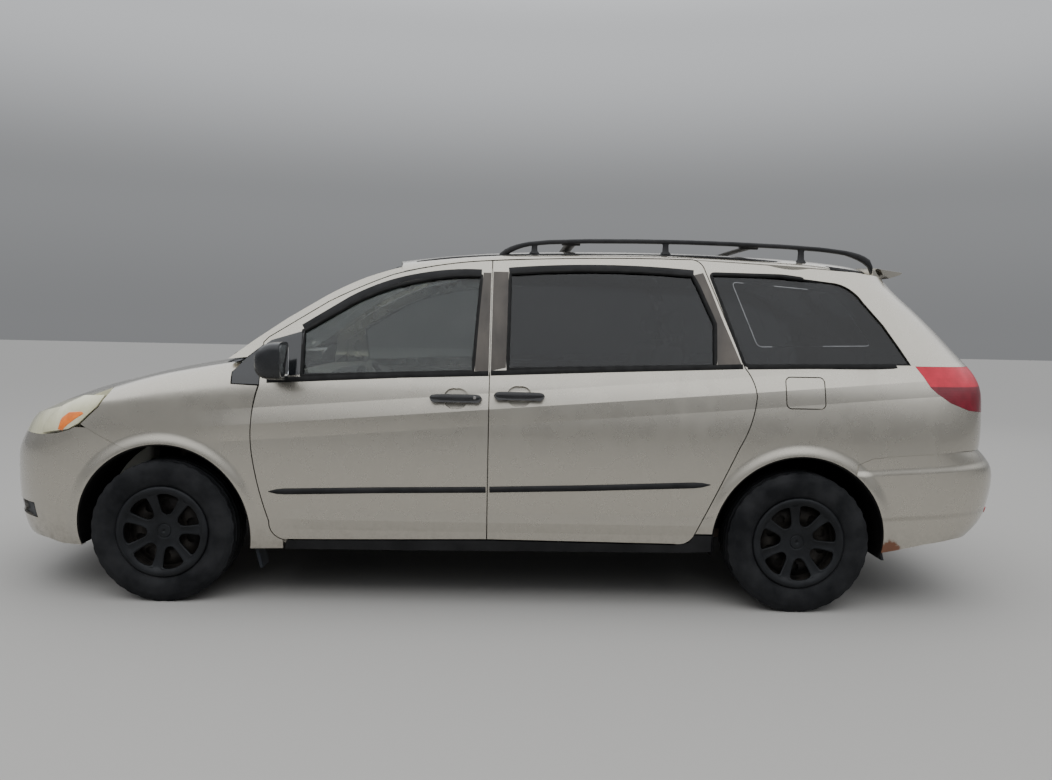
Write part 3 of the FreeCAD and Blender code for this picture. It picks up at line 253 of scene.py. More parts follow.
def rounded_corners(points, radius, count=5):
    """A closed run of corners with each corner rounded."""
    result = []
    total = len(points)
    for i, corner in enumerate(points):
        corner = Vector(corner)
        back = Vector(points[i - 1]) - corner
        ahead = Vector(points[(i + 1) % total]) - corner
        reach = min(radius, back.length / 2, ahead.length / 2)
        start = corner + back.normalized() * reach
        end = corner + ahead.normalized() * reach
        for k in range(count + 1):
            t = k / count
            result.append(tuple((1 - t) ** 2 * start + 2 * t * (1 - t) * corner + t * t * end))
    return result


def spread(points, count):
    """A run of points at equal distances along another."""
    lengths = [0.0]
    for a, b in zip(points, points[1:]):
        lengths.append(lengths[-1] + math.dist(a, b))
    result = []
    k = 0
    for i in range(count):
        want = lengths[-1] * i / (count - 1)
        while k < len(points) - 2 and lengths[k + 1] < want:
            k += 1
        share = (want - lengths[k]) / max(1e-9, lengths[k + 1] - lengths[k])
        share = min(1.0, max(0.0, share))
        result.append(tuple(a + (b - a) * share for a, b in zip(points[k], points[k + 1])))
    return result


# Meshes
def piece(name, points, faces, material, body, slot, sharp=35.0, mirror=False):
    """A new object from points in mm, which rides on a body. A mirror piece is its twin on the other side."""
    scale = Vector((MM, -MM if mirror else MM, MM))
    mesh = bpy.data.meshes.new(name)
    mesh.from_pydata([Vector(p) * scale for p in points], [], faces)
    mesh.materials.append(material)
    build = bmesh.new()
    build.from_mesh(mesh)
    bmesh.ops.remove_doubles(build, verts=build.verts, dist=0.00002)
    bmesh.ops.recalc_face_normals(build, faces=build.faces)
    build.to_mesh(mesh)
    build.free()
    mesh.shade_smooth()
    mesh.set_sharp_from_angle(angle=math.radians(sharp))
    made = bpy.data.objects.new(name, mesh)
    scene.collection.objects.link(made)
    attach(made, body)
    return made


def on_both_sides(name, points, faces, material, body, slot, sharp=35.0):
    """The piece and its twin. A body name that ends in an underscore takes the side's name."""
    pair = []
    for side in SIDES:
        carrier = body + side if body.endswith("_") else body
        pair.append(piece(name + "_" + side, points, faces, material, carrier, slot, sharp, side == "right"))
    return pair


def thicken(made, thickness):
    made.modifiers.new("thickness", "SOLIDIFY").thickness = thickness


def joined(*meshes):
    """Several (points, faces) as one."""
    points, faces = [], []
    for more_points, more_faces in meshes:
        first = len(points)
        points += list(more_points)
        faces += [tuple(first + i for i in face) for face in more_faces]
    return points, faces


def loft(rings, closed_path=False, capped=True):
    """Faces through closed rings of equal counts."""
    count = len(rings[0])
    points = [p for ring in rings for p in ring]
    faces = []
    last = len(rings) if closed_path else len(rings) - 1
    for i in range(last):
        for k in range(count):
            a, b = i * count + k, i * count + (k + 1) % count
            c, d = ((i + 1) % len(rings)) * count + (k + 1) % count, ((i + 1) % len(rings)) * count + k
            faces.append((a, b, c, d))
    if capped and not closed_path:
        faces.append(tuple(range(count)))
        faces.append(tuple(range((len(rings) - 1) * count, len(rings) * count)))
    return points, faces


def sweep(surface, path, profile, closed=False, width=None):
    """A profile of (across, out) rows carried along a path on a surface. Across grows to the path's left."""
    rings = []
    count = len(path)
    for i, (u, v) in enumerate(path):
        before = path[i - 1] if closed or i else path[0]
        after = path[(i + 1) % count] if closed or i < count - 1 else path[-1]
        along = Vector((after[0] - before[0], after[1] - before[1])).normalized()
        scale = width(i / (count - 1)) if width else 1.0
        ring = []
        for across, out in profile:
            at_u = u - along.y * across * scale
            at_v = v + along.x * across * scale
            ring.append(raised(surface, at_u, at_v, out * scale if out > 0 else out))
        rings.append(ring)
    return loft(rings, closed)


def patch(surface, first, second, out, columns, rows, root=-2.0, rim=2.0):
    """A thin plate on a surface between two edges, with a rounded rim."""
    first, second = spread(first, columns + 1), spread(second, columns + 1)
    grid = []
    for i in range(columns + 1):
        line = []
        (u0, v0), (u1, v1) = first[i], second[i]
        span = max(1.0, math.hypot(u1 - u0, v1 - v0))
        inset = min(0.45, rim / span)
        between = [inset + (1 - 2 * inset) * k / rows for k in range(1, rows)]
        shares = [0.0, 0.0, inset] + between + [1 - inset, 1.0, 1.0]
        for k, share in enumerate(shares):
            end = i in (0, columns)
            low = k in (0, len(shares) - 1)
            edge = k in (1, len(shares) - 2)
            height = root if low else (out * 0.35 if edge or end else out)
            line.append(raised(surface, u0 + (u1 - u0) * share, v0 + (v1 - v0) * share, height))
        grid.append(line)
    for i in (0, -1):
        (u0, v0), (u1, v1) = first[i], second[i]
        shares = [k / (len(grid[0]) - 1) for k in range(len(grid[0]))]
        skirt = [raised(surface, u0 + (u1 - u0) * share, v0 + (v1 - v0) * share, root) for share in shares]
        grid = [skirt] + grid if i == 0 else grid + [skirt]
    return loft(grid, capped=True)


def at_height(x, y, height):
    return Vector((x, y, height))


def at_depth(y, z, x):
    return Vector((x, y, z))


def wheel_point(hub, radius, along, angle):
    """A point around an axle, which lies along y; along is its distance from the hub on that line."""
    return Vector(hub) + Vector((radius * math.cos(angle), along, radius * math.sin(angle)))


def turned(profile, middle, steps):
    """A profile of (radius, along the axis) rows turned about an axle through the middle."""
    return loft([[wheel_point(middle, radius, along, math.tau * i / steps) for radius, along in profile]
                 for i in range(steps)], closed_path=True)


def squared(angle, power, sine=False):
    """The cosine or sine of an angle, swollen towards a square's outline by a power under 1."""
    value = math.sin(angle) if sine else math.cos(angle)
    return math.copysign(abs(value) ** power, value)


def inset(points, distance):
    """A closed outline moved inwards by a distance."""
    total = len(points)
    area = sum(a[0] * b[1] - b[0] * a[1] for a, b in zip(points, points[1:] + points[:1]))
    turn = math.copysign(1.0, area)
    result = []
    for i, (a, b) in enumerate(points):
        before, after = points[i - 1], points[(i + 1) % total]
        along = Vector((after[0] - before[0], after[1] - before[1])).normalized()
        result.append((a - along.y * distance * turn, b + along.x * distance * turn))
    return result


def stepped(points, rows, place):
    """A plate whose edge follows rows of (inset, height); place(a, b, height) gives a point."""
    return loft([[place(a, b, height) for a, b in inset(points, distance)] for distance, height in rows])


def plates(place, *parts):
    """Several stepped plates as one mesh; a part is an outline and its rows."""
    return joined(*(stepped(edge, rows, place) for edge, rows in parts))


def rectangle(low_a, low_b, high_a, high_b, radius=0.0, count=5):
    corners = [(low_a, low_b), (high_a, low_b), (high_a, high_b), (low_a, high_b)]
    return rounded_corners(corners, radius, count) if radius else corners


def on_surface(surface):
    return lambda u, v, out: raised(surface, u, v, out)


# How far behind the surface the ray starts, and how far from it the skin may lie
SKIN_RAY = 60.0
SKIN_NEAR = 14.0


def skin_of(name, surface):
    """The surface, moved along x onto the node's own outer face where that lies close to it."""
    def at(a, b):
        point = surface(a, b)
        start = Vector((point.x + SKIN_RAY, point.y, point.z))
        hit, place = nodes[name].ray_cast(start * MM, Vector((-1, 0, 0)))[:2]
        return place / MM if hit and abs(place.x / MM - point.x) < SKIN_NEAR else point
    return at


def circle(middle_a, middle_b, radius, count=32, squeeze=1.0):
    angles = [math.tau * i / count for i in range(count)]
    return [(middle_a + squeeze * radius * math.cos(angle), middle_b + radius * math.sin(angle))
            for angle in angles]


def sheet_over(surface, us, vs, out):
    """A grid on a surface, at a distance from it."""
    points = [raised(surface, u, v, out) for u in us for v in vs]
    count = len(vs)
    faces = [(i * count + k, (i + 1) * count + k, (i + 1) * count + k + 1, i * count + k + 1)
             for i in range(len(us) - 1) for k in range(count - 1)]
    return points, faces


def steps_between(first, last, count):
    return [first + (last - first) * i / count for i in range(count + 1)]


def tube(path, radius, sides=10, flat=1.0):
    """A round bar through points, with closed ends."""
    rings = []
    path = [Vector(p) for p in path]
    for i, point in enumerate(path):
        along = (path[min(i + 1, len(path) - 1)] - path[max(i - 1, 0)]).normalized()
        across = along.cross(Vector((0, 0, 1)) if abs(along.z) < 0.9 else Vector((1, 0, 0))).normalized()
        over = across.cross(along)
        size = radius(i / (len(path) - 1)) if callable(radius) else radius
        rings.append([point + across * size * math.cos(math.tau * k / sides)
                      + over * size * flat * math.sin(math.tau * k / sides) for k in range(sides)])
    return loft(rings)


# Materials
def shader(name, colour, roughness, metallic=0.0, coat=0.0, coat_roughness=0.05, transmission=0.0, ior=1.5,
           specular=0.5, sheen=0.0):
    """A material whose shader has these constants."""
    made = bpy.data.materials.new(name)
    made.use_nodes = True
    bsdf = made.node_tree.nodes["Principled BSDF"]
    values = {"Base Color": (*colour, 1.0), "Roughness": roughness, "Metallic": metallic, "Coat Weight": coat,
              "Coat Roughness": coat_roughness, "Transmission Weight": transmission, "IOR": ior,
              "Specular IOR Level": specular, "Sheen Weight": sheen}
    for socket, value in values.items():
        bsdf.inputs[socket].default_value = value
    return made


def node(material, kind, **settings):
    made = material.node_tree.nodes.new(kind)
    for key, value in settings.items():
        setattr(made, key, value)
    return made


def link(material, source, target):
    material.node_tree.links.new(source, target)


def coordinates(material):
    for existing in material.node_tree.nodes:
        if existing.bl_idname == "ShaderNodeTexCoord":
            return existing.outputs["Object"]
    return node(material, "ShaderNodeTexCoord").outputs["Object"]


def main_shader(material):
    return material.node_tree.nodes["Principled BSDF"]


def noise(material, scale, detail=4.0, roughness=0.55, stretch=None):
    """Noise over the object's coordinates, in a range of about 0 to 1."""
    made = node(material, "ShaderNodeTexNoise")
    made.inputs["Scale"].default_value = scale
    made.inputs["Detail"].default_value = detail
    made.inputs["Roughness"].default_value = roughness
    source = coordinates(material)
    if stretch:
        mapping = node(material, "ShaderNodeMapping")
        mapping.inputs["Scale"].default_value = stretch
        link(material, source, mapping.inputs["Vector"])
        source = mapping.outputs["Vector"]
    link(material, source, made.inputs["Vector"])
    return made.outputs["Fac"]


def ramp(material, source, stops):
    """A colour ramp; each stop is (place, colour)."""
    made = node(material, "ShaderNodeValToRGB")
    elements = made.color_ramp.elements
    while len(elements) < len(stops):
        elements.new(0.5)
    for element, (place, colour) in zip(elements, stops):
        element.position = place
        element.color = (*colour, 1.0) if len(colour) == 3 else colour
    link(material, source, made.inputs["Fac"])
    return made.outputs["Color"]


def math_node(material, operation, a, b=None, clamp=False):
    made = node(material, "ShaderNodeMath", operation=operation, use_clamp=clamp)
    for socket, value in zip(made.inputs, (a, b)):
        if value is None:
            continue
        if isinstance(value, (int, float)):
            socket.default_value = value
        else:
            link(material, value, socket)
    return made.outputs["Value"]


def plus(material, a, b):
    return math_node(material, "ADD", a, b)


def minus(material, a, b):
    return math_node(material, "SUBTRACT", a, b)


def times(material, a, b):
    return math_node(material, "MULTIPLY", a, b)


def higher(material, a, b):
    return math_node(material, "MAXIMUM", a, b)


def size_of(material, a):
    return math_node(material, "ABSOLUTE", a)


def mixed(material, factor, a, b):
    made = node(material, "ShaderNodeMix", data_type="RGBA")
    link(material, factor, made.inputs["Factor"])
    for socket, value in ((made.inputs["A"], a), (made.inputs["B"], b)):
        if isinstance(value, tuple):
            socket.default_value = (*value, 1.0)
        else:
            link(material, value, socket)
    return made.outputs["Result"]


def axis_value(material, axis):
    made = node(material, "ShaderNodeSeparateXYZ")
    link(material, coordinates(material), made.inputs["Vector"])
    return made.outputs[axis]


def step_between(material, value, start, end):
    """0 before start, 1 after end, smooth between."""
    made = node(material, "ShaderNodeMapRange", interpolation_type="SMOOTHSTEP")
    link(material, value, made.inputs["Value"])
    made.inputs["From Min"].default_value = start
    made.inputs["From Max"].default_value = end
    return made.outputs["Result"]


def bump(material, height, strength, distance, under=None):
    made = node(material, "ShaderNodeBump")
    made.inputs["Strength"].default_value = strength
    made.inputs["Distance"].default_value = distance
    link(material, height, made.inputs["Height"])
    if under is not None:
        link(material, under, made.inputs["Normal"])
    link(material, made.outputs["Normal"], main_shader(material).inputs["Normal"])
    return made.outputs["Normal"]


def mottled(name, dark, light, scale, roughness, rough_range=0.12, grain=0.0, grain_scale=900.0, stretch=None,
            **settings):
    """A material between two tones, with a varying roughness and a fine grain."""
    made = shader(name, light, roughness, **settings)
    base = main_shader(made)
    cloud = noise(made, scale, detail=6.0, stretch=stretch)
    link(made, ramp(made, cloud, [(0.34, dark), (0.66, light)]), base.inputs["Base Color"])
    spread_low = max(0.0, roughness - rough_range / 2)
    low, high = (spread_low,) * 3, (min(1.0, roughness + rough_range / 2),) * 3
    link(made, ramp(made, noise(made, scale * 2.3, detail=3.0), [(0.3, low), (0.7, high)]),
         base.inputs["Roughness"])
    if grain:
        bump(made, noise(made, grain_scale, detail=2.0), grain, 0.0004)
    return made


# Body paint: beige silver with fine flakes, dust towards the sill, rust behind the rear wheels, and relief
PAINT_DARK = (0.43, 0.405, 0.35)
PAINT_LIGHT = (0.56, 0.53, 0.465)
DUST = (0.2, 0.175, 0.135)
RUST = (0.13, 0.045, 0.016)
# Rust behind the rear wheels: x and z of its middle, and its reach
RUST_AT = (1.885, 0.3)
RUST_REACH = 0.11
# Relief of the paint, in metres: the arches' flares, the roof's beads, the folds of the rear bumper
FLARE_RISE = 0.013
FLARE_WIDTH = 0.062
SHOULDER_FADE = (-1.5, -1.2)
SILL_FOLD_ENDS = (-0.975, 1.06)
BEAD_MIDDLES = (0.15, 0.4)
BEAD_HALF = 0.028
BEAD_ENDS = (-0.24, 1.7)
BEAD_DEPTH = 0.004
# Folds of the rear bumper: lean along x, and where each starts and ends, with its height
BUMPER_LEAN = 0.066
UPPER_FOLD = (0.585, 0.548, 0.006)
LOWER_FOLD = (0.352, 0.322, -0.008)
# The pull handles' box, where the door skins' paint turns black: distance outwards, x and z
HANDLE_OUT = (0.9502, 0.9512)
HANDLE_X = (-0.345, 0.21)
HANDLE_Z = (0.985, 1.04)


def band(material, value, low, high, soft):
    """1 between low and high, 0 beyond them, with soft edges."""
    rise = step_between(material, value, low - soft, low + soft)
    fall = step_between(material, value, high + soft, high - soft)
    return times(material, rise, fall)


def around(material, first, second, at_first, at_second):
    """Distance from a place, across two of the axes."""
    a = minus(material, axis_value(material, first), at_first)
    b = minus(material, axis_value(material, second), at_second)
    squares = plus(material, times(material, a, a), times(material, b, b))
    return math_node(material, "SQRT", squares)


def flares(material):
    """Height of the raised lips around the wheel arches."""
    total = None
    for axle_x in (FRONT_AXLE_X, REAR_AXLE_X):
        away = around(material, "X", "Z", axle_x * MM, AXLE_Z * MM)
        edge = ARCH_RADIUS * MM
        lip = step_between(material, away, edge + FLARE_WIDTH, edge)
        total = lip if total is None else higher(material, total, lip)
    return times(material, total, FLARE_RISE)


def crease(material, distance, reach, rise):
    """A ridge of straight flanks over the line where distance is 0, all in metres."""
    away = math_node(material, "DIVIDE", size_of(material, distance), reach)
    share = math_node(material, "SUBTRACT", 1.0, away, clamp=True)
    return times(material, share, rise)


def side_creases(material):
    """The crease that rises along the shoulder, the fold over the sill, and the arches' flares."""
    x, z = axis_value(material, "X"), axis_value(material, "Z")
    line = minus(material, z, times(material, x, SHOULDER_RISE))
    total = crease(material, minus(material, line, SHOULDER_Z * MM), SHOULDER_REACH * MM, SHOULDER_OUT * MM)
    total = times(material, total, step_between(material, x, *SHOULDER_FADE))
    sill = crease(material, minus(material, z, SILL_FOLD_Z * MM), SILL_FOLD_REACH * MM, SILL_FOLD_OUT * MM)
    sill = times(material, sill, band(material, x, *SILL_FOLD_ENDS, 0.1))
    return plus(material, plus(material, total, sill), flares(material))


def body_paint(name, relief=None):
    """relief makes a height in metres from the material, for the piece's own folds."""
    made = shader(name, PAINT_LIGHT, 0.27, metallic=0.93, coat=0.7, coat_roughness=0.05)
    base = main_shader(made)
    flakes = ramp(made, noise(made, 1400.0, detail=1.0), [(0.35, PAINT_DARK), (0.65, PAINT_LIGHT)])
    height = axis_value(made, "Z")
    low = step_between(made, height, 0.5, 0.25)
    spots = step_between(made, noise(made, 14.0, detail=8.0, roughness=0.7), 0.36, 0.7)
    dirt = math_node(made, "MULTIPLY", low, spots, clamp=True)
    streaks = step_between(made, noise(made, 5.0, detail=7.0, roughness=0.65, stretch=(1.0, 1.0, 0.22)), 0.52,
                           0.78)
    dirt = plus(made, times(made, dirt, 0.6), times(made, streaks, 0.1))
    near = step_between(made, around(made, "X", "Z", *RUST_AT), RUST_REACH, 0.0)
    rust = step_between(made, times(made, near, noise(made, 34.0, detail=8.0, roughness=0.7)), 0.2, 0.34)
    link(made, mixed(made, rust, mixed(made, dirt, flakes, DUST), RUST), base.inputs["Base Color"])
    dirt = higher(made, dirt, rust)
    rough = ramp(made, noise(made, 9.0, detail=5.0), [(0.3, (0.24,) * 3), (0.7, (0.31,) * 3)])
    link(made, plus(made, rough, times(made, dirt, 0.5)), base.inputs["Roughness"])
    link(made, minus(made, 0.93, times(made, dirt, 0.9)), base.inputs["Metallic"])
    relief_height = relief(made) if relief else flares(made)
    waves = times(made, noise(made, 2.1, detail=1.0), 0.0012)
    bump(made, plus(made, relief_height, waves), 1.0, 1.0)
    return made


def roof_beads(material):
    """Long pressed beads between the rails of the rack."""
    across = size_of(material, axis_value(material, "Y"))
    total = None
    for middle in BEAD_MIDDLES:
        bead = band(material, across, middle - BEAD_HALF, middle + BEAD_HALF, 0.016)
        total = bead if total is None else higher(material, total, bead)
    length = band(material, axis_value(material, "X"), *BEAD_ENDS, 0.05)
    return times(material, times(material, total, length), -BEAD_DEPTH)


def bumper_folds(material):
    """A rounded fold under the top of the bumper and a crease above its lower edge."""
    height = axis_value(material, "Z")
    lean = minus(material, height, times(material, axis_value(material, "X"), BUMPER_LEAN))
    top = step_between(material, lean, *UPPER_FOLD[:2])
    low = step_between(material, lean, *LOWER_FOLD[:2])
    along = plus(material, times(material, top, UPPER_FOLD[2]), times(material, low, LOWER_FOLD[2]))
    return plus(material, along, flares(material))


paint = body_paint("paint", side_creases)
hood_paint = body_paint("hood_paint")
roof_paint = body_paint("roof_paint", roof_beads)
rear_paint = body_paint("rear_bumper_paint", bumper_folds)
garnish_paint = body_paint("garnish_paint")


def paint_with_black_handles():
    """Body paint that turns black on the pull handles, which stand out from the door skins."""
    made = body_paint("door_paint", side_creases)
    base = main_shader(made)
    out = step_between(made, size_of(made, axis_value(made, "Y")), *HANDLE_OUT)
    near = times(made, band(made, axis_value(made, "X"), *HANDLE_X, 0.001),
                 band(made, axis_value(made, "Z"), *HANDLE_Z, 0.001))
    on_handle = times(made, out, near)
    for socket, value in (("Base Color", (0.01, 0.01, 0.011)), ("Roughness", (0.32,) * 3),
                          ("Metallic", (0.0,) * 3)):
        before = base.inputs[socket].links[0].from_socket
        link(made, mixed(made, on_handle, before, value), base.inputs[socket])
    return made


door_paint = paint_with_black_handles()
trim = mottled("faded_trim", (0.007, 0.0072, 0.0078), (0.016, 0.016, 0.017), 7.0, 0.55, grain=0.25,
               specular=0.2)
trim_brown = mottled("weathered_trim", (0.02, 0.0165, 0.0135), (0.07, 0.06, 0.05), 5.0, 0.42, grain=0.2,
                     stretch=(1.0, 1.0, 0.25))
gloss_black = mottled("gloss_black", (0.006, 0.007, 0.008), (0.012, 0.013, 0.015), 4.0, 0.12,
                      rough_range=0.06, coat=0.6)
handle_black = mottled("handle_black", (0.007, 0.007, 0.008), (0.014, 0.014, 0.015), 12.0, 0.3,
                       rough_range=0.1)
seal_rubber = mottled("seal_rubber", (0.004, 0.004, 0.004), (0.01, 0.01, 0.01), 22.0, 0.6, grain=0.2,
                      specular=0.2)
tyre_rubber = mottled("tyre_rubber", (0.006, 0.0065, 0.0075), (0.018, 0.0185, 0.02), 9.0, 0.8, grain=0.3,
                      grain_scale=600.0, specular=0.15)
cover_black = mottled("cover_black", (0.005, 0.0056, 0.0066), (0.011, 0.012, 0.0138), 10.0, 0.45, grain=0.15,
                      specular=0.22)
liner_black = mottled("liner_black", (0.003, 0.003, 0.0035), (0.009, 0.0085, 0.008), 6.0, 0.9, grain=0.5,
                      grain_scale=300.0, specular=0.1)
dark_plastic = mottled("dark_plastic", (0.011, 0.013, 0.017), (0.022, 0.025, 0.03), 5.0, 0.5, grain=0.35,
                       specular=0.25)
rack_black = mottled("rack_black", (0.009, 0.0095, 0.01), (0.02, 0.02, 0.021), 9.0, 0.45, grain=0.2,
                     specular=0.3)
mirror_silver = mottled("mirror_silver", (0.5, 0.51, 0.52), (0.62, 0.63, 0.64), 3.0, 0.06, rough_range=0.05,
                        metallic=1.0)
mirror_shell = mottled("mirror_shell", (0.009, 0.01, 0.011), (0.018, 0.019, 0.021), 6.0, 0.24,
                       rough_range=0.1, grain=0.1)
steel = mottled("steel", (0.16, 0.15, 0.14), (0.34, 0.33, 0.32), 16.0, 0.42, metallic=0.85, grain=0.2)
wheel_steel = mottled("wheel_steel", (0.006, 0.0055, 0.0055), (0.026, 0.023, 0.02), 14.0, 0.55, metallic=0.3,
                      grain=0.3, specular=0.2)
cast_iron = mottled("cast_iron", (0.05, 0.036, 0.027), (0.11, 0.085, 0.065), 12.0, 0.72, metallic=0.4,
                    grain=0.6, grain_scale=260.0)
cabin = mottled("cabin_plastic", (0.17, 0.155, 0.13), (0.23, 0.21, 0.18), 5.0, 0.62, grain=0.35)
cabin_dark = mottled("cabin_dark_plastic", (0.03, 0.028, 0.026), (0.055, 0.052, 0.048), 6.0, 0.6, grain=0.3)
lining = mottled("roof_lining", (0.3, 0.285, 0.25), (0.36, 0.34, 0.3), 40.0, 0.95, grain=0.6,
                 grain_scale=700.0)
carpet_pile = mottled("carpet", (0.045, 0.04, 0.034), (0.085, 0.077, 0.066), 30.0, 0.98, grain=1.0,
                      grain_scale=420.0)
plate_white = mottled("plate_white", (0.55, 0.56, 0.57), (0.68, 0.69, 0.7), 12.0, 0.35)
milky_plastic = mottled("milky_plastic", (0.42, 0.42, 0.38), (0.56, 0.56, 0.5), 9.0, 0.45)
ghost_line = mottled("ghost_line", (0.1, 0.105, 0.11), (0.17, 0.175, 0.18), 20.0, 0.6)
clear_lens = mottled("clear_lens", (0.5, 0.51, 0.5), (0.66, 0.67, 0.66), 20.0, 0.12, coat=1.0)
red_lens_plain = mottled("plain_red_lens", (0.3, 0.008, 0.015), (0.42, 0.012, 0.022), 30.0, 0.18, coat=1.0)
cloth_fabric = mottled("seat_cloth", (0.11, 0.1, 0.085), (0.19, 0.172, 0.148), 60.0, 0.9, grain=0.8,
                       grain_scale=520.0, sheen=0.3)


def tinted_glass(name, clear, dusty):
    """Dark glass with a film of dust that gathers in clouds."""
    made = shader(name, clear, 0.015, transmission=1.0, ior=1.45, specular=0.3)
    film = noise(made, 3.2, detail=4.0, roughness=0.5, stretch=(1.0, 1.0, 2.0))
    link(made, ramp(made, film, [(0.4, clear), (0.75, dusty)]), main_shader(made).inputs["Base Color"])
    return made


privacy_glass = tinted_glass("privacy_glass", (0.055, 0.06, 0.064), (0.07, 0.075, 0.078))
door_glass = tinted_glass("door_glass", (0.2, 0.225, 0.22), (0.24, 0.26, 0.255))
screen_glass = tinted_glass("screen_glass", (0.72, 0.78, 0.75), (0.78, 0.8, 0.77))


LAMP_SEAM_Z = 1.098


def ribs(material, direction, scale):
    """Even ribs moulded in a lens, which follow each other along a direction."""
    made = node(material, "ShaderNodeTexWave", bands_direction=direction)
    made.inputs["Scale"].default_value = scale
    link(material, coordinates(material), made.inputs["Vector"])
    return made.outputs["Fac"]


def lamp_red():
    """A red lens, darker below its seam, with fine ribs."""
    made = shader("red_lens", (0.4, 0.006, 0.02), 0.3, coat=0.3, coat_roughness=0.05, specular=0.3)
    height = axis_value(made, "Z")
    upper = step_between(made, height, LAMP_SEAM_Z - 0.0005, LAMP_SEAM_Z + 0.0005)
    cloud = noise(made, 20.0, detail=3.0)
    low = ramp(made, cloud, [(0.3, (0.09, 0.002, 0.008)), (0.7, (0.15, 0.004, 0.014))])
    high = ramp(made, cloud, [(0.3, (0.34, 0.004, 0.018)), (0.7, (0.46, 0.008, 0.03))])
    link(made, mixed(made, upper, low, high), main_shader(made).inputs["Base Color"])
    bump(made, ribs(made, "Z", 26.0), 0.25, 0.0006)
    return made


def lamp_clear():
    """A lens gone yellow and hazy from above."""
    made = shader("hazy_lens", (0.6, 0.58, 0.4), 0.2, coat=1.0, coat_roughness=0.08)
    haze = noise(made, 7.0, detail=6.0, roughness=0.6)
    tone = ramp(made, haze, [(0.3, (0.42, 0.41, 0.27)), (0.7, (0.62, 0.6, 0.44))])
    link(made, tone, main_shader(made).inputs["Base Color"])
    bump(made, ribs(made, "X", 14.0), 0.2, 0.0015)
    return made


red_lens = lamp_red()
hazy_lens = lamp_clear()
amber_lens = mottled("amber_lens", (0.62, 0.13, 0.01), (0.82, 0.2, 0.02), 30.0, 0.2, coat=1.0)

# Each material's CAD nodes. A name that ends in an underscore stands for both sides
NODE_MATERIALS = [
    (paint, "side_frame_ fender_ quarter_panel_ fuel_door"),
    (hood_paint, "hood front_bumper tailgate"),
    (privacy_glass, "sliding_door_glass quarter_glass tailgate_glass"),
    (door_glass, "front_door_glass_"),
    (screen_glass, "windshield"),
    (gloss_black, "pillar_trims"),
    (roof_paint, "roof_panel"),
    (rear_paint, "rear_bumper"),
    (hazy_lens, "headlamps"),
    (red_lens, "tail_lamps"),
    (dark_plastic, "grille cowl mud_flaps"),
    (trim, "sill_covers roof_rack"),
    (liner_black, "wheel_liners_front wheel_liners_rear floor_pan bulkhead fuel_tank"),
    (cast_iron, "front_subframe front_struts rear_axle knuckle_ front_structure engine_block exhaust"),
    (wheel_steel, "rim_front_ rim_rear_"),
    (cover_black, "wheel_cover_front_ wheel_cover_rear_"),
    (tyre_rubber, "tyre_front_ tyre_rear_"),
    (cabin, "dashboard"),
    (cloth_fabric, "seats"),
    (door_paint, "front_door_ sliding_doors"),
    (mirror_shell, "mirror_"),
]
for material, names in NODE_MATERIALS:
    for name in names.split():
        for full_name in [name + side for side in SIDES] if name.endswith("_") else [name]:
            nodes[full_name].data.materials.clear()
            nodes[full_name].data.materials.append(material)

# Trim along the doors: outlines are (x, z) on the left side
BELT_DOOR = [(-1106, 1070), (-474, 1106), (-65, 1122)]
BELT_SLIDING = [(-55, 1124), (531, 1151), (1145, 1177)]
BELT_QUARTER = [(1168, 1176), (1500, 1184), (1975, 1192)]
BELT_PROFILE = [(-12, -3), (-12, 1.0), (-9, 3.0), (4, 3.4), (11, 2.0), (13, -4), (13, -16), (2, -16)]
SEAL_PROFILE = [(-9, -2), (-9, 0.8), (-5, 1.8), (3, 1.4), (8, -3), (8, -15), (-2, -15)]
MOULDING_PROFILE = [(-14, -2), (-14, 3), (-10, 7), (-3, 9), (6, 8.5), (12, 5), (14, 2), (14, -2)]


def inward(path):
    """The closed path, ordered so that across points into it."""
    area = sum(a[0] * b[1] - b[0] * a[1] for a, b in zip(path, path[1:] + path[:1]))
    return path if area > 0 else path[::-1]


def side_trim(name, path, profile, material, body, slot="trim", closed=False, surface=side_surface,
              width=None):
    return on_both_sides(name, *sweep(surface, path, profile, closed, width), material, body, slot)


quarter_corners = rounded_corners([point[-2:] for point in QUARTER_WINDOW], 22)
for name, outline, body in [("front_window_seal", FRONT_WINDOW, "front_door_"),
                            ("sliding_window_seal", SLIDING_WINDOW, "body"),
                            ("quarter_window_seal", quarter_corners, "body")]:
    side_trim(name, inward(trace(outline)), SEAL_PROFILE, seal_rubber, body, "rubber", closed=True)
for name, path, body in [("front_door_belt", BELT_DOOR, "front_door_"),
                         ("sliding_door_belt", BELT_SLIDING, "body"),
                         ("quarter_belt", BELT_QUARTER, "body")]:
    side_trim(name, trace(path, closed=False), BELT_PROFILE, seal_rubber, body, "rubber")


# A moulding narrows to its tip over this share of its length, and the tip keeps this share of the section
TIP_SHARE = 0.06
TIP_SIZE = 0.02


def tapered(share):
    return 1.0 if share > TIP_SHARE else math.sqrt(max(TIP_SIZE, share / TIP_SHARE))


def tapered_behind(share):
    return tapered(1 - share)


side_trim("front_door_moulding", trace([(-1088, 549), (-600, 566), (-68, 578)], closed=False),
          MOULDING_PROFILE, trim, "front_door_", width=tapered)
side_trim("sliding_door_moulding", trace([(-50, 579), (400, 594), (992, 620)], closed=False),
          MOULDING_PROFILE, trim, "body", width=tapered_behind)

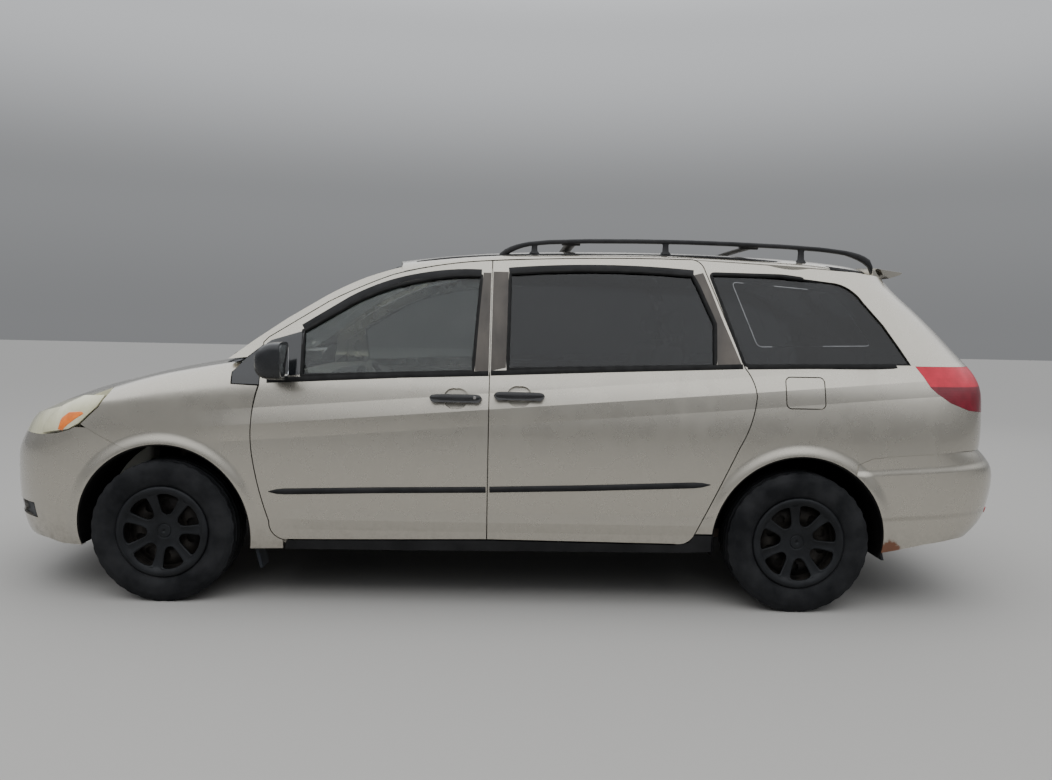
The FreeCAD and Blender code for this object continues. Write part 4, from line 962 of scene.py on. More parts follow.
# Charcoal frame around the front door's window, and the weathered plates on the pillars
front_frame = [(-950, 1310), (-735, 1449), (-537, 1537, -409, 1569), (-265, 1590, -112, 1594)]
side_trim("front_door_frame", trace(front_frame, closed=False),
          [(1, -2), (1, 0.6), (3, 1.2), (26, 1.2), (28, 0.6), (28, -2)], trim, "front_door_")
PLATES = [("front_door_foot", [(-1128, 1078), (-1128, 1240), (-1104, 1258)],
           [(-946, 1101), (-952, 1200), (-950, 1306)], gloss_black, "front_door_"),
          ("front_door_pillar", [(-131, 1132), (-118, 1400), (-103, 1606)],
           [(-65, 1132), (-65, 1400), (-65, 1606)], trim_brown, "front_door_"),
          ("sliding_door_pillar", [(-55, 1134), (-55, 1400), (-55, 1612)],
           [(16, 1150), (18, 1400), (20, 1612)], trim_brown, "body"),
          ("sliding_door_rear_pillar", [(1022, 1180), (1032, 1378), (963, 1556), (935, 1616)],
           [(1140, 1184), (1062, 1390), (1012, 1540), (980, 1628)], trim_brown, "body")]
for name, first, second, material, body in PLATES:
    on_both_sides(name, *patch(side_surface, first, second, 1.6, 14, 5), material, body, "trim")
side_trim("sliding_door_frame", trace([(22, 1612), (480, 1636, 932, 1619)], closed=False),
          [(1, -2), (1, 0.6), (3, 1.2), (20, 1.2), (22, 0.6), (22, -2)], trim, "body")

# Wheels
TREAD_STEPS = 96
TYRE_PROFILE = [(204, -86), (212, -89), (219, -91), (224, -97), (234, -101), (252, -106), (270, -107.5),
                (286, -107), (300, -105.3), (309, -104.6), (314, -101.5), (320, -100), (327, -96.5),
                (333, -92)]
TREAD_RIBS = [(-92, -62), (-54, -24), (-17, 17), (24, 54), (62, 92)]
TREAD_DEPTH = 7.0
# Radii of the middle ribs, the shoulders and the shoulders' outer foot; depths of the cuts across them
TREAD_CROWN = 339.6
SHOULDER_CROWN = 338.4
SHOULDER_ROOT = 334.5
SHOULDER_CUT = 5.0
RIB_CUT = 2.0
BEAD_RADIUS = 204.0


def tyre(hub):
    """A tyre with grooves between its ribs and blocks along its shoulders."""
    rings = []
    for i in range(TREAD_STEPS):
        angle = math.tau * i / TREAD_STEPS
        cut = i % 3 == 0
        section = list(TYRE_PROFILE)
        for k, (first, last) in enumerate(TREAD_RIBS):
            shoulder = k in (0, len(TREAD_RIBS) - 1)
            crown = SHOULDER_CROWN if shoulder else TREAD_CROWN
            top = crown - (SHOULDER_CUT if shoulder else RIB_CUT) * cut
            first_drop = SHOULDER_ROOT if k == 0 else crown - TREAD_DEPTH
            last_drop = SHOULDER_ROOT if k == len(TREAD_RIBS) - 1 else crown - TREAD_DEPTH
            section += [(first_drop, first), (top, first + 1.5), (top, last - 1.5), (last_drop, last)]
        section += [(radius, -along) for radius, along in reversed(TYRE_PROFILE)]
        section += [(BEAD_RADIUS, 60), (BEAD_RADIUS, -60)]
        rings.append([wheel_point(hub, radius, along, angle) for radius, along in section])
    return loft(rings, closed_path=True)


COVER_SPOKES = 7
# Half angle of the opening beside a spoke: radius, degrees
COVER_OPENING = [(79, 0), (83, 8), (95, 13.5), (118, 16), (150, 17), (172, 17.2), (180, 13.5), (184, 0)]
# Outer face of the cover: radius, distance outboard of the wheel's middle
COVER_FACE = [(0, 76.5), (30, 76.5), (33, 73), (37, 75.5), (46, 76), (62, 74), (74, 75), (118, 80), (150, 84),
              (176, 90.5), (186, 98), (194, 102.5), (205, 105.5), (214, 103), (219, 99)]
cover_face_at = smooth(COVER_FACE)
opening_at = smooth(COVER_OPENING)
COVER_RADII = [1, 18, 29, 30, 33, 37, 46, 62, 72, 79, 80, 83, 88, 95, 105, 118, 135, 150, 165, 172, 176, 180,
               182, 184, 188, 194, 200, 205, 210, 214, 219]
SPOKE_SHARES = [-1, -0.93, -0.82, -0.7, -0.35, 0, 0.35, 0.7, 0.82, 0.93, 1]
# The spokes' relief runs between these radii and fades over these lengths
SPOKE_FOOT, SPOKE_TIP = 60, 196
FOOT_FADE, TIP_FADE = 30, 14
# A ridge runs along each edge of a spoke, between these shares of its half width; then the heights of the
# ridge, of the edge beyond it and of the face between the ridges
RIDGE = (0.7, 0.9)
RIDGE_OUT, EDGE_OUT, PAN_OUT = 2.6, 0.6, -0.6
OPENING_DEPTH = 9.0


def cover_point(radius, share, spoke, turn, drop=0.0):
    """A place on a spoke: share runs from -1 to 1 between its edges; drop is its depth under the face."""
    opening = opening_at(radius) if COVER_OPENING[0][0] < radius < COVER_OPENING[-1][0] else 0.0
    half = 180.0 / COVER_SPOKES - opening
    angle = math.radians(turn + spoke * 360.0 / COVER_SPOKES + share * half)
    out = cover_face_at(radius) - drop
    if SPOKE_FOOT < radius < SPOKE_TIP:
        fade = min(1.0, (radius - SPOKE_FOOT) / FOOT_FADE, (SPOKE_TIP - radius) / TIP_FADE)
        relief = RIDGE_OUT if RIDGE[0] <= abs(share) <= RIDGE[1] else PAN_OUT
        out += fade * (EDGE_OUT if abs(share) > RIDGE[1] else relief)
    return Vector((radius * math.cos(angle), -out, radius * math.sin(angle)))


def wheel_cover(hub, turn):
    """The seven-spoke cover as one skin, with walls around its openings."""
    meshes = []
    for spoke in range(COVER_SPOKES):
        grid = [[cover_point(radius, share, spoke, turn) for share in SPOKE_SHARES] for radius in COVER_RADII]
        points = [p for line in grid for p in line]
        count = len(SPOKE_SHARES)
        faces = [(i * count + k, i * count + k + 1, (i + 1) * count + k + 1, (i + 1) * count + k)
                 for i in range(len(COVER_RADII) - 1) for k in range(count - 1)]
        meshes.append((points, faces))
        for share in (-1, 1):
            span = [radius for radius in COVER_RADII if COVER_OPENING[0][0] <= radius <= COVER_OPENING[-1][0]]
            top = [cover_point(radius, share, spoke, turn) for radius in span]
            low = [cover_point(radius, share, spoke, turn, OPENING_DEPTH) for radius in span]
            wall = [(i, i + 1, len(span) + i + 1, len(span) + i) for i in range(len(span) - 1)]
            meshes.append((top + low, wall))
    points, faces = joined(*meshes)
    return [Vector(hub) + p for p in points], faces


# Steel wheel: radii of its rings, its depth at some of them, its hand holes and nuts
DISH_RADII = [34, 60, 75, 84, 92, 104, 116, 128, 140, 148, 156, 172, 189]
dish_at = smooth([(34, 41), (60, 41), (75, 36), (104, 46), (128, 52), (156, 44), (189, 20)])
HAND_HOLES = 10
HOLE_STEPS = 12
HOLE_CIRCLE = 128.0
HOLE_RADIUS = 20.0
NUTS = 5
NUT_CIRCLE = 57.0
NUT_PROFILE = [(0, -58), (5, -58), (8, -56), (10, -50), (10, -38), (0, -38)]


def dished_wheel(hub):
    """The steel wheel behind the cover: a dished centre with a ring of round hand holes."""
    steps = HAND_HOLES * HOLE_STEPS
    points = [wheel_point(hub, radius, -dish_at(radius), math.tau * i / steps) for radius in DISH_RADII
              for i in range(steps)]
    faces = []
    for i in range(len(DISH_RADII) - 1):
        middle = (DISH_RADII[i] + DISH_RADII[i + 1]) / 2
        for k in range(steps):
            along = ((k + 0.5) % HOLE_STEPS - HOLE_STEPS / 2) / HOLE_STEPS * math.tau / HAND_HOLES * middle
            if math.hypot(along, middle - HOLE_CIRCLE) < HOLE_RADIUS:
                continue
            a, b = i * steps + k, i * steps + (k + 1) % steps
            faces.append((a, b, b + steps, a + steps))
    nuts = [turned(NUT_PROFILE, wheel_point(hub, NUT_CIRCLE, 0, math.tau * (i + 0.5) / NUTS), 6)
            for i in range(NUTS)]
    return joined((points, faces), *nuts)


# Each axle: name, x, hub y, angle of the first spoke
AXLES = [("front", FRONT_AXLE_X, FRONT_HUB_Y, 106.5), ("rear", REAR_AXLE_X, REAR_HUB_Y, 97.0)]
for end, axle_x, hub_y, turn in AXLES:
    hub = (axle_x, hub_y, AXLE_Z)
    wheel = "wheel_" + end + "_"
    for part, form, material, slot in [("tread", tyre(hub), tyre_rubber, "tyre"),
                                       ("spokes", wheel_cover(hub, turn), cover_black, "trim"),
                                       ("steel", dished_wheel(hub), wheel_steel, "steel")]:
        for side, made in zip(SIDES, on_both_sides(end + "_wheel_" + part, *form, material, wheel, slot)):
            if part == "tread":
                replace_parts(made, "tyre_" + end + "_" + side)
            if part == "spokes":
                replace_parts(made, "wheel_cover_" + end + "_" + side)
                thicken(made, 0.002)

# Pull handles: a fat end that tapers to a tip. Share from the fat end, half height, inner and outer stand-out
HANDLE_SHAPE = [(-0.012, 3, -2, 22), (0.01, 10, -2, 33), (0.04, 14.5, -2, 37.5), (0.1, 16.8, -2, 39),
                (0.19, 16.6, 2, 39.4), (0.24, 16.2, 18, 39.5), (0.35, 15.9, 20, 39.5),
                (0.5, 15.7, 20.5, 39.2), (0.65, 15.7, 20, 38.8), (0.78, 15.8, 17, 38.4), (0.83, 15.8, 4, 38),
                (0.9, 15.6, -2, 37.8), (0.96, 13, -2, 37.4), (0.99, 9.5, -2, 35), (1.012, 3, -2, 24)]
# Each handle: name, x of its fat end, x of its tip, height, body
HANDLES = [("front_door_handle", -96.0, -334.0, 1004.0, "front_door_"),
           ("sliding_door_handle", -34.0, 198.0, 1019.0, "body")]
SECTION_STEPS = 16


def handle(fat_x, tip_x, z):
    rings = []
    for share, half, near, far in HANDLE_SHAPE:
        x = fat_x + (tip_x - fat_x) * share
        ring = []
        for k in range(SECTION_STEPS):
            angle = math.tau * k / SECTION_STEPS
            up, out = squared(angle, 0.7, sine=True), squared(angle, 0.7)
            ring.append(raised(side_surface, x, z + up * half, (near + far) / 2 + out * (far - near) / 2))
        rings.append(ring)
    return loft(rings)


for name, fat_x, tip_x, z, body in HANDLES:
    on_both_sides(name, *handle(fat_x, tip_x, z), handle_black, body, "trim", sharp=50.0)
lock = stepped(circle(-126, 1004, 7.5, 20), [(0, 37), (0, 40.2), (1, 41), (3, 41), (3.4, 40.2), (6.5, 40.2)],
               on_surface(side_surface))
on_both_sides("front_door_lock", *lock, steel, "front_door_", "steel")

# Mirrors: share from the door outwards, size of the section
MIRROR_SECTIONS = [(0, 0.5), (0.015, 0.72), (0.06, 0.87), (0.16, 0.96), (0.34, 1.0), (0.58, 1.0),
                   (0.76, 0.95), (0.88, 0.85), (0.95, 0.72), (0.985, 0.55), (1.0, 0.3)]
MIRROR_INNER_Y = -968.0
MIRROR_OUTER_Y = -1129.0
MIRROR_BACK_X = -990.0
MIRROR_DEPTH = 127.0
MIRROR_HALF = 86.0
MIRROR_MIDDLE_Z = 1169.0
housing = []
for share, size in MIRROR_SECTIONS:
    y = MIRROR_INNER_Y + (MIRROR_OUTER_Y - MIRROR_INNER_Y) * share
    depth, half = MIRROR_DEPTH * size ** 0.9, MIRROR_HALF * size ** 0.6
    middle = MIRROR_MIDDLE_Z + 10 * (1 - size)
    ring = [Vector((MIRROR_BACK_X - depth * max(0.0, math.cos(angle)) ** 0.62, y,
                    middle + half * squared(angle, 0.8, sine=True) - 9 * math.cos(angle)))
            for angle in (math.radians(-90 + 180 * k / 24) for k in range(25))]
    ring += [Vector((MIRROR_BACK_X + 1.5, y, middle + half * 0.9 * side)) for side in (1, 0, -1)]
    housing.append(ring)
arm = tube([(-1062, -895, 1103), (-1060, -930, 1104), (-1056, -960, 1110), (-1050, -990, 1122)], 24.0, 16,
           0.62)
mirrors = on_both_sides("mirror_housing", *joined(loft(housing), arm), mirror_shell, "front_door_", "trim",
                        sharp=50.0)
for side, made in zip(SIDES, mirrors):
    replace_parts(made, "mirror_" + side)
glass_edge = rectangle(-1121, 1095, -976, 1243, 34, 8)
glass_rows = [(0, -992), (0, -986.5), (2, -985.5), (5, -985.5), (6, -987), (30, -986.6)]
on_both_sides("mirror_glass", *stepped(glass_edge, glass_rows, at_depth), mirror_silver, "front_door_",
              "glass_dark")

# Roof rack: centre line of a rail in side view, then its posts
RAIL_Y = -615.0
RAIL_LINE = [(-42, 1668), (-34, 1692), (-8, 1716), (40, 1741), (110, 1759), (220, 1771), (420, 1780),
             (660, 1784), (900, 1785), (1150, 1781), (1400, 1774), (1600, 1763), (1730, 1748), (1800, 1730),
             (1838, 1706), (1852, 1676)]
RAIL_POSTS = [146.0, 806.0, 1492.0]
RAIL_HALF_WIDTH = 15.0
RAIL_HALF_HEIGHT = 11.5
# The rail's ends grow into feet over this share of its length, and their middle drops by this much
RAIL_FOOT_SHARE = 0.09
FOOT_DROP = 9.0
# Cross bars: their places along the rails, the height of their middle and how far their ends drop
BAR_XS = (330.0, 1230.0)
BAR_Z = 1773.0
BAR_BOW = 6.0
BAR_END_Y = 604.0
# A post of the rack: share of its height, half length and half width
POST_SHAPE = [(0.0, 27, 17), (0.06, 25, 16), (0.25, 16, 12), (0.7, 14, 11), (1.0, 19, 12)]
rail_at = smooth(RAIL_LINE)
ROOF_CENTRE = [(-560, 1678), (-249, 1716), (0, 1734), (300, 1746), (700, 1750), (1100, 1745), (1500, 1727),
               (1850, 1702), (2010, 1682)]
ROOF_EDGE = [(-545, 1587), (-300, 1643), (-60, 1668), (430, 1688), (925, 1694), (1394, 1672), (1730, 1652),
             (1990, 1630)]
ROOF_FALL = [(0, 0.0), (0.38, 0.05), (0.68, 0.17), (0.88, 0.42), (0.96, 0.68), (1, 1.0)]
roof_centre_at, roof_edge_at, roof_fall_at = smooth(ROOF_CENTRE), smooth(ROOF_EDGE), smooth(ROOF_FALL)


def roof_surface(x, y):
    edge = roof_edge_at(x) + 2.5
    share = min(1.0, abs(y) / straight_width(x, edge))
    return Vector((x, y, roof_centre_at(x) - (roof_centre_at(x) - edge) * roof_fall_at(share)))


def section(middle, half_width, half_height, count=16):
    """A rounded box across the x axis."""
    angles = [math.tau * k / count for k in range(count)]
    return [middle + Vector((0, squared(angle, 0.6) * half_width,
                             squared(angle, 0.6, sine=True) * half_height)) for angle in angles]


def rack_rail():
    rings = []
    line = spread([(float(x), float(z)) for x, z in RAIL_LINE], 60)
    for i, (x, z) in enumerate(line):
        end = min(i, len(line) - 1 - i) / (len(line) - 1)
        foot = 1 - min(1.0, end / RAIL_FOOT_SHARE)
        middle = Vector((x, RAIL_Y, z - FOOT_DROP * foot))
        rings.append(section(middle, RAIL_HALF_WIDTH + 5 * foot, RAIL_HALF_HEIGHT + 11 * foot))
    meshes = [loft(rings)]
    for x in RAIL_POSTS:
        foot = roof_surface(x, RAIL_Y).z
        top = rail_at(x)
        post = []
        for share, along, across in POST_SHAPE:
            z = foot - 1 + (top - foot) * share
            post.append([Vector((x + squared(angle, 0.6) * along,
                                 RAIL_Y + squared(angle, 0.6, sine=True) * across, z))
                         for angle in (math.tau * k / 16 for k in range(16))])
        meshes.append(loft(post))
    return joined(*meshes)


rail_points, rail_faces = rack_rail()
bar_meshes = []
for x in BAR_XS:
    bar = [(x, y, BAR_Z - BAR_BOW * (y / 600) ** 2) for y in steps_between(-BAR_END_Y, BAR_END_Y, 24)]
    bar_meshes.append(tube(bar, 30.0, 16, 0.3))
    for side in (-1, 1):
        bar_meshes.append(tube([(x - 46, side * 596, 1771), (x + 46, side * 596, 1771)], 17.0, 12, 0.8))
far_rail = ([Vector((p.x, -p.y, p.z)) for p in rail_points], rail_faces)
rack_form = joined((rail_points, rail_faces), far_rail, *bar_meshes)
rack = piece("roof_rack_rails", *rack_form, rack_black, "body", "trim", 50.0)
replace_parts(rack, "roof_rack")

# Joint covers along the roof, under the rails
JOINT_Y = 640.0
JOINT_PROFILE = [(-13, -3), (-13, 0.5), (-9, 2.2), (9, 2.2), (13, 0.5), (13, -3)]
for side, way in zip(SIDES, (-1, 1)):
    path = [(x, way * JOINT_Y) for x in steps_between(-440, 1800, 40)]
    joint_cover = sweep(roof_surface, path, JOINT_PROFILE)
    piece("roof_joint_cover_" + side, *joint_cover, seal_rubber, "body", "rubber")

# Lamps: the amber marker and the outer lens of the headlamp, and the seam on the tail lamp
amber_marker = patch(side_surface, [(-1968, 894), (-2010, 868), (-2050, 838), (-2078, 812)],
                     [(-1976, 905), (-2050, 898), (-2090, 868), (-2104, 815)], 3.4, 12, 4, rim=3.0)
on_both_sides("amber_marker", *amber_marker, amber_lens, "body", "lamp_clear")
outer_lens = patch(side_surface, [(-1872, 984), (-1907, 930), (-1958, 883), (-1992, 850), (-2047, 820)],
                   [(-2000, 976), (-2098, 930), (-2160, 880), (-2195, 830), (-2210, 792)], 1.6, 18, 10,
                   root=-10.0, rim=3.0)
on_both_sides("headlamp_outer_lens", *outer_lens, hazy_lens, "body", "lamp_clear")
seam_z = LAMP_SEAM_Z / MM
side_trim("tail_lamp_seam", [(x, seam_z) for x in (2056, 2120, 2200, 2260)],
          [(-2, -2), (-2, 0.8), (2, 0.8), (2, -2)], seal_rubber, "body", "rubber")


# Seats. Each form is made once, around its own middle, and stands in all the places
PRESSURE = 4.0
VOXEL = 0.008
CLOTH_FRAMES = 20
# Seams are pressed in where the surface's normal points up at least this much
TOP_FACING = 0.35
SEAT_LEAN = math.radians(10.9)
# Rows of each form: inset, height
CUSHION_ROWS = [(34, 598), (10, 604), (0, 622), (0, 668), (8, 692), (30, 704), (56, 707)]
BACK_ROWS = [(40, 10), (12, 16), (0, 34), (0, 68), (10, 86), (36, 96), (76, 98)]
HEADREST_ROWS = [(26, 4), (8, 9), (0, 24), (0, 58), (8, 74), (26, 82), (42, 84)]
# Seams pressed into a form's top: axis, place, half width, depth
CUSHION_SEAMS = [(1, -0.152, 0.006, 0.007), (1, 0.152, 0.006, 0.007), (0, 0.335, 0.006, 0.006),
                 (0, 0.19, 0.005, 0.005)]
BACK_SEAMS = [(1, -0.15, 0.006, 0.007), (1, 0.15, 0.006, 0.007), (0, 0.2, 0.005, 0.006),
              (0, 0.4, 0.005, 0.006)]


def with_modifiers_applied(made):
    graph = bpy.context.evaluated_depsgraph_get()
    result = bpy.data.meshes.new_from_object(made.evaluated_get(graph))
    made.modifiers.clear()
    made.data = result
    return made


def stuffed(name, points, faces, cap, seams):
    """A closed form swollen by pressure, no point moving further than cap, with seams sewn in its top."""
    mesh = bpy.data.meshes.new(name)
    mesh.from_pydata([Vector(p) * MM for p in points], [], faces)
    made = bpy.data.objects.new(name, mesh)
    scene.collection.objects.link(made)
    remesh = made.modifiers.new("remesh", "REMESH")
    remesh.mode = "VOXEL"
    remesh.voxel_size = VOXEL
    with_modifiers_applied(made)
    before = [v.co.copy() for v in made.data.vertices]
    cloth = made.modifiers.new("cloth", "CLOTH")
    cloth.settings.quality = 4
    cloth.settings.use_pressure = True
    cloth.settings.uniform_pressure_force = PRESSURE
    cloth.settings.effector_weights.gravity = 0.0
    cloth.point_cache.frame_start = 1
    cloth.point_cache.frame_end = CLOTH_FRAMES
    for moment in range(1, CLOTH_FRAMES + 1):
        scene.frame_set(moment)
    graph = bpy.context.evaluated_depsgraph_get()
    swollen = [v.co.copy() for v in made.evaluated_get(graph).data.vertices]
    made.modifiers.clear()
    for vertex, old, new in zip(made.data.vertices, before, swollen):
        move = new - old
        vertex.co = old + move * min(1.0, cap / max(move.length, 1e-9))
    scene.frame_set(1)
    for vertex in made.data.vertices:
        if vertex.normal.z < TOP_FACING:
            continue
        drop = 0.0
        for axis, place, half, depth in seams:
            drop = max(drop, depth * math.exp(-((vertex.co[axis] - place) / half) ** 2))
        vertex.co.z -= drop
    smoothing = made.modifiers.new("even", "SMOOTH")
    smoothing.factor = 0.35
    smoothing.iterations = 1
    with_modifiers_applied(made)
    form = made.data
    form.shade_smooth()
    form.materials.append(cloth_fabric)
    bpy.data.objects.remove(made)
    return form


def pillow(low_a, low_b, high_a, high_b, rows, radius):
    """A crowned closed form over a rounded rectangle; rows are (inset, height)."""
    return stepped(rectangle(low_a, low_b, high_a, high_b, radius, 6), rows, at_height)


cushion_form = stuffed("cushion", *pillow(-52, -236, 402, 236, CUSHION_ROWS, 58), 0.024, CUSHION_SEAMS)
back_form = stuffed("back", *pillow(14, -222, 588, 222, BACK_ROWS, 80), 0.022, BACK_SEAMS)
headrest_form = stuffed("headrest", *pillow(0, -118, 124, 118, HEADREST_ROWS, 44), 0.014, [])
# How far behind the cushion's front edge the back and the headrest stand
BACK_X = 505.0
HEADREST_X = 604.0
# Places of the seats: name, front x, middle y, width against the form's
SEAT_PLACES = [("front_left", -620.0, -400.0, 1.0), ("front_right", -620.0, 400.0, 1.0),
               ("middle_left", 330.0, -390.0, 1.0), ("middle_right", 330.0, 390.0, 1.0),
               ("bench_left", 1230.0, -413.0, 0.82), ("bench_middle", 1230.0, 0.0, 0.82),
               ("bench_right", 1230.0, 413.0, 0.82)]


def placed(name, form, place, width, lean=None):
    """The form as a piece. A leaning form has its length upwards and its face towards the front."""
    made = bpy.data.objects.new(name, form)
    scene.collection.objects.link(made)
    turn = Matrix.Identity(4)
    if lean is not None:
        up = Vector((math.sin(lean), 0, math.cos(lean)))
        face = Vector((-math.cos(lean), 0, math.sin(lean)))
        turn = Matrix((up, Vector((0, 1, 0)), face)).transposed().to_4x4()
    made.matrix_world = Matrix.Translation(Vector(place) * MM) @ turn @ Matrix.Diagonal((1, width, 1, 1))
    bpy.context.view_layer.update()
    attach(made, "body")
    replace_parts(made, "seats")


def behind_back(foot_x, middle_y):
    """Places on the back's hard shell: along its lean, across, and how far forward of the shell."""
    return lambda up, across, out: Vector((foot_x + 12 + up * math.sin(SEAT_LEAN) - out * 0.98,
                                           middle_y + across, 692 + up * math.cos(SEAT_LEAN) + out * 0.19))


for name, front_x, middle_y, width in SEAT_PLACES:
    placed("seat_cushion_" + name, cushion_form, (front_x, middle_y, 0), width)
    placed("seat_back_" + name, back_form, (front_x + BACK_X, middle_y, 690), width, SEAT_LEAN)
    placed("headrest_" + name, headrest_form, (front_x + HEADREST_X, middle_y, 1316), 1.0, SEAT_LEAN / 2)
    half = 200 * width
    base_edge = rectangle(front_x + 62, middle_y - half, front_x + 436, middle_y + half, 30, 4)
    base = stepped(base_edge, [(26, 400.5), (20, 420), (4, 470), (0, 560), (4, 592), (28, 594)], at_height)
    shell_edge = rectangle(0, -232 * width, 596, 232 * width, 70, 6)
    shell = stepped(shell_edge, [(60, -6), (14, -2), (2, 12), (0, 26), (8, 34), (66, 36)],
                    behind_back(front_x + BACK_X, middle_y))
    posts = [tube([(front_x + 598, middle_y + y, 1262), (front_x + 612, middle_y + y, 1330)], 6.0, 10)
             for y in (-62, 62)]
    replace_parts(piece("seat_base_" + name, *joined(base, shell), cabin_dark, "body", "interior"), "seats")
    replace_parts(piece("headrest_posts_" + name, *joined(*posts), steel, "body", "steel"), "seats")
for side, way in zip(SIDES, (-1, 1)):
    for row, x0 in (("front", -620.0), ("middle", 330.0)):
        lever = tube([(x0 + 150, way * 622, 560), (x0 + 235, way * 626, 566), (x0 + 290, way * 624, 560)],
                     9.0, 10, 0.6)
        piece("seat_lever_" + row + "_" + side, *lever, cabin_dark, "body", "interior")

# Cabin: lining of the roof, carpet, inner door covers and the dashboard's fittings
LINING_DROP = 44.0
CARPET_Z = 402.0
# Depth of the inner covers under the side's skin
INNER_DEPTH = 96.0
ARMREST_Z = 790.0
INNER_HANDLE_Z = 905.0
SPEAKER_Z = 545.0
# Section of an armrest: up from its middle, out from the skin
ARMREST_PROFILE = [(-46, -96), (-52, -126), (-34, -146), (-6, -152), (10, -146), (16, -126), (20, -96)]
ARMREST_ENDS = (0.35, 0.75, 0.95)
SPEAKER_RINGS = [(9 + 7 * k, -102 - (2 if k % 2 else 0)) for k in range(1, 9)]
SPEAKER_ROWS = [(0, -96), (0, -102), (3, -105), (7, -105), (9, -102)] + SPEAKER_RINGS

lining_sheet = sheet_over(roof_surface, steps_between(-430, 1850, 24), steps_between(-560, 560, 16),
                          -LINING_DROP)
thicken(piece("roof_lining", *lining_sheet, lining, "body", "interior"), 0.002)


def carpet_surface(x, y):
    return Vector((x, y, CARPET_Z))


carpet_sheet = sheet_over(carpet_surface, steps_between(-1140, 975, 30), steps_between(-780, 780, 22), 0)
thicken(piece("carpet", *carpet_sheet, carpet_pile, "body", "interior"), 0.003)


def armrest(first_x, last_x):
    rings = []
    for i, x in enumerate(steps_between(first_x, last_x, 16)):
        end = min(i, 16 - i)
        size = ARMREST_ENDS[end] if end < len(ARMREST_ENDS) else 1.0
        rings.append([raised(side_surface, x, ARMREST_Z + up, -INNER_DEPTH + (out + INNER_DEPTH) * size)
                      for up, out in ARMREST_PROFILE])
    return loft(rings)


# Inner covers: name, first x, last x, lowest and highest z, armrest's ends, speaker's x, body
INNER_COVERS = [("front_door", -1040, -100, 430, 1096, -820, -240, -900, "front_door_"),
                ("sliding_door", 0, 1000, 430, 1130, 240, 760, 120, "body")]
# Inner handles: x from the armrest's end, distance inwards
INNER_HANDLE = [(-60, 0), (-50, 22), (-20, 30), (40, 30), (70, 22), (80, 0)]
for name, x0, x1, z0, z1, arm0, arm1, speaker_x, body in INNER_COVERS:
    cover = sheet_over(side_surface, steps_between(x0, x1, 24), steps_between(z0, z1, 14), -INNER_DEPTH - 0.2)
    for made in on_both_sides(name + "_inner_cover", *cover, cabin, body, "interior"):
        thicken(made, 0.003)
    speaker = stepped(circle(speaker_x, SPEAKER_Z, 84, 40), SPEAKER_ROWS, on_surface(side_surface))
    on_both_sides(name + "_armrest", *armrest(arm0, arm1), cabin_dark, body, "interior")
    on_both_sides(name + "_speaker", *speaker, cabin_dark, body, "interior")
    pull = tube([raised(side_surface, arm1 + along, INNER_HANDLE_Z, -INNER_DEPTH - 1 - out)
                 for along, out in INNER_HANDLE], 8.0, 10, 0.8)
    on_both_sides(name + "_inner_handle", *pull, steel, body, "steel")

# The dashboard's face: x at its lower edge, how far it leans back over its height
DASH_X, DASH_LEAN = -720.0, 15.0
DASH_LOW_Z, DASH_HEIGHT = 880.0, 110.0
DRIVER_Y = -370.0
HOOD_FLOOR_Z = 1040.0
# Hood over the dials: x, half width, rise, base
DIAL_HOOD = [(-930, 150, 8, 1058), (-900, 168, 34, 1058), (-850, 180, 52, 1058), (-800, 184, 60, 1058),
             (-765, 182, 60, 1058), (-758, 172, 50, 1056)]
DIAL_Z = 1068.0


def dash_face(y, z, out):
    """The dashboard's face towards the seats; out is how far a point stands from it."""
    share = (z - DASH_LOW_Z) / DASH_HEIGHT
    return Vector((DASH_X + DASH_LEAN * share + out, y, z))


knob_rows = [(0, 6), (0, 20), (2, 24), (6, 24)]
key_rows = [(0, 11), (0, 15), (1.5, 16), (3, 16)]
controls = plates(dash_face, (rectangle(-125, 890, 125, 984, 14), [(0, -4), (0, 5), (3, 8), (8, 8)]),
                  (rectangle(-104, 940, 104, 976, 6), [(0, 6), (0, 12), (2, 13), (6, 13)]),
                  *[(circle(y, 914, 15, 24), knob_rows) for y in (-96, 0, 96)],
                  *[(rectangle(y - 9, 944, y + 9, 952, 2), key_rows) for y in steps_between(-88, 88, 7)])
piece("centre_controls", *controls, cabin_dark, "body", "interior")
vents = []
for y in (-640, -170, 170, 640):
    vents.append((rectangle(y - 62, 928, y + 62, 982, 8), [(0, -4), (0, 4), (2, 6), (6, 6), (7, 2)]))
    vents += [(rectangle(y - 52, z, y + 52, z + 3), [(0, 1), (0, 7), (1, 8)]) for z in (938, 949, 960, 970)]
piece("air_vents", *plates(dash_face, *vents), cabin_dark, "body", "interior")
glove_lid = stepped(rectangle(220, 892, 560, 922, 12), [(0, -4), (0, 3), (4, 5), (12, 5)], dash_face)
piece("glove_box_lid", *glove_lid, cabin, "body", "interior")
hood_rings = []
for x, half, rise, base in DIAL_HOOD:
    angles = [math.pi * k / 16 for k in range(17)]
    ring = [Vector((x, DRIVER_Y + half * math.cos(angle), base + rise * math.sin(angle) ** 0.7))
            for angle in angles]
    ring += [Vector((x, DRIVER_Y + half * (2 * k / 6 - 1), HOOD_FLOOR_Z)) for k in range(7)]
    hood_rings.append(ring)
piece("instrument_hood", *loft(hood_rings), cabin_dark, "body", "interior")
dials = []
for y, radius in ((-435, 44), (-340, 44), (-388, 16), (-280, 24)):
    dials.append((circle(y, DIAL_Z, radius * 0.82, 32),
                  [(0, -757), (0, -754), (3, -754), (3, -756), (radius * 0.3, -756)]))
piece("dials", *plates(at_depth, *dials), steel, "body", "steel")
mirror_rows = [(20, -598), (6, -594), (0, -584), (0, -574), (3, -571), (10, -571)]
cabin_mirror = stepped(rectangle(-120, 1545, 120, 1603, 24, 6), mirror_rows, at_depth)
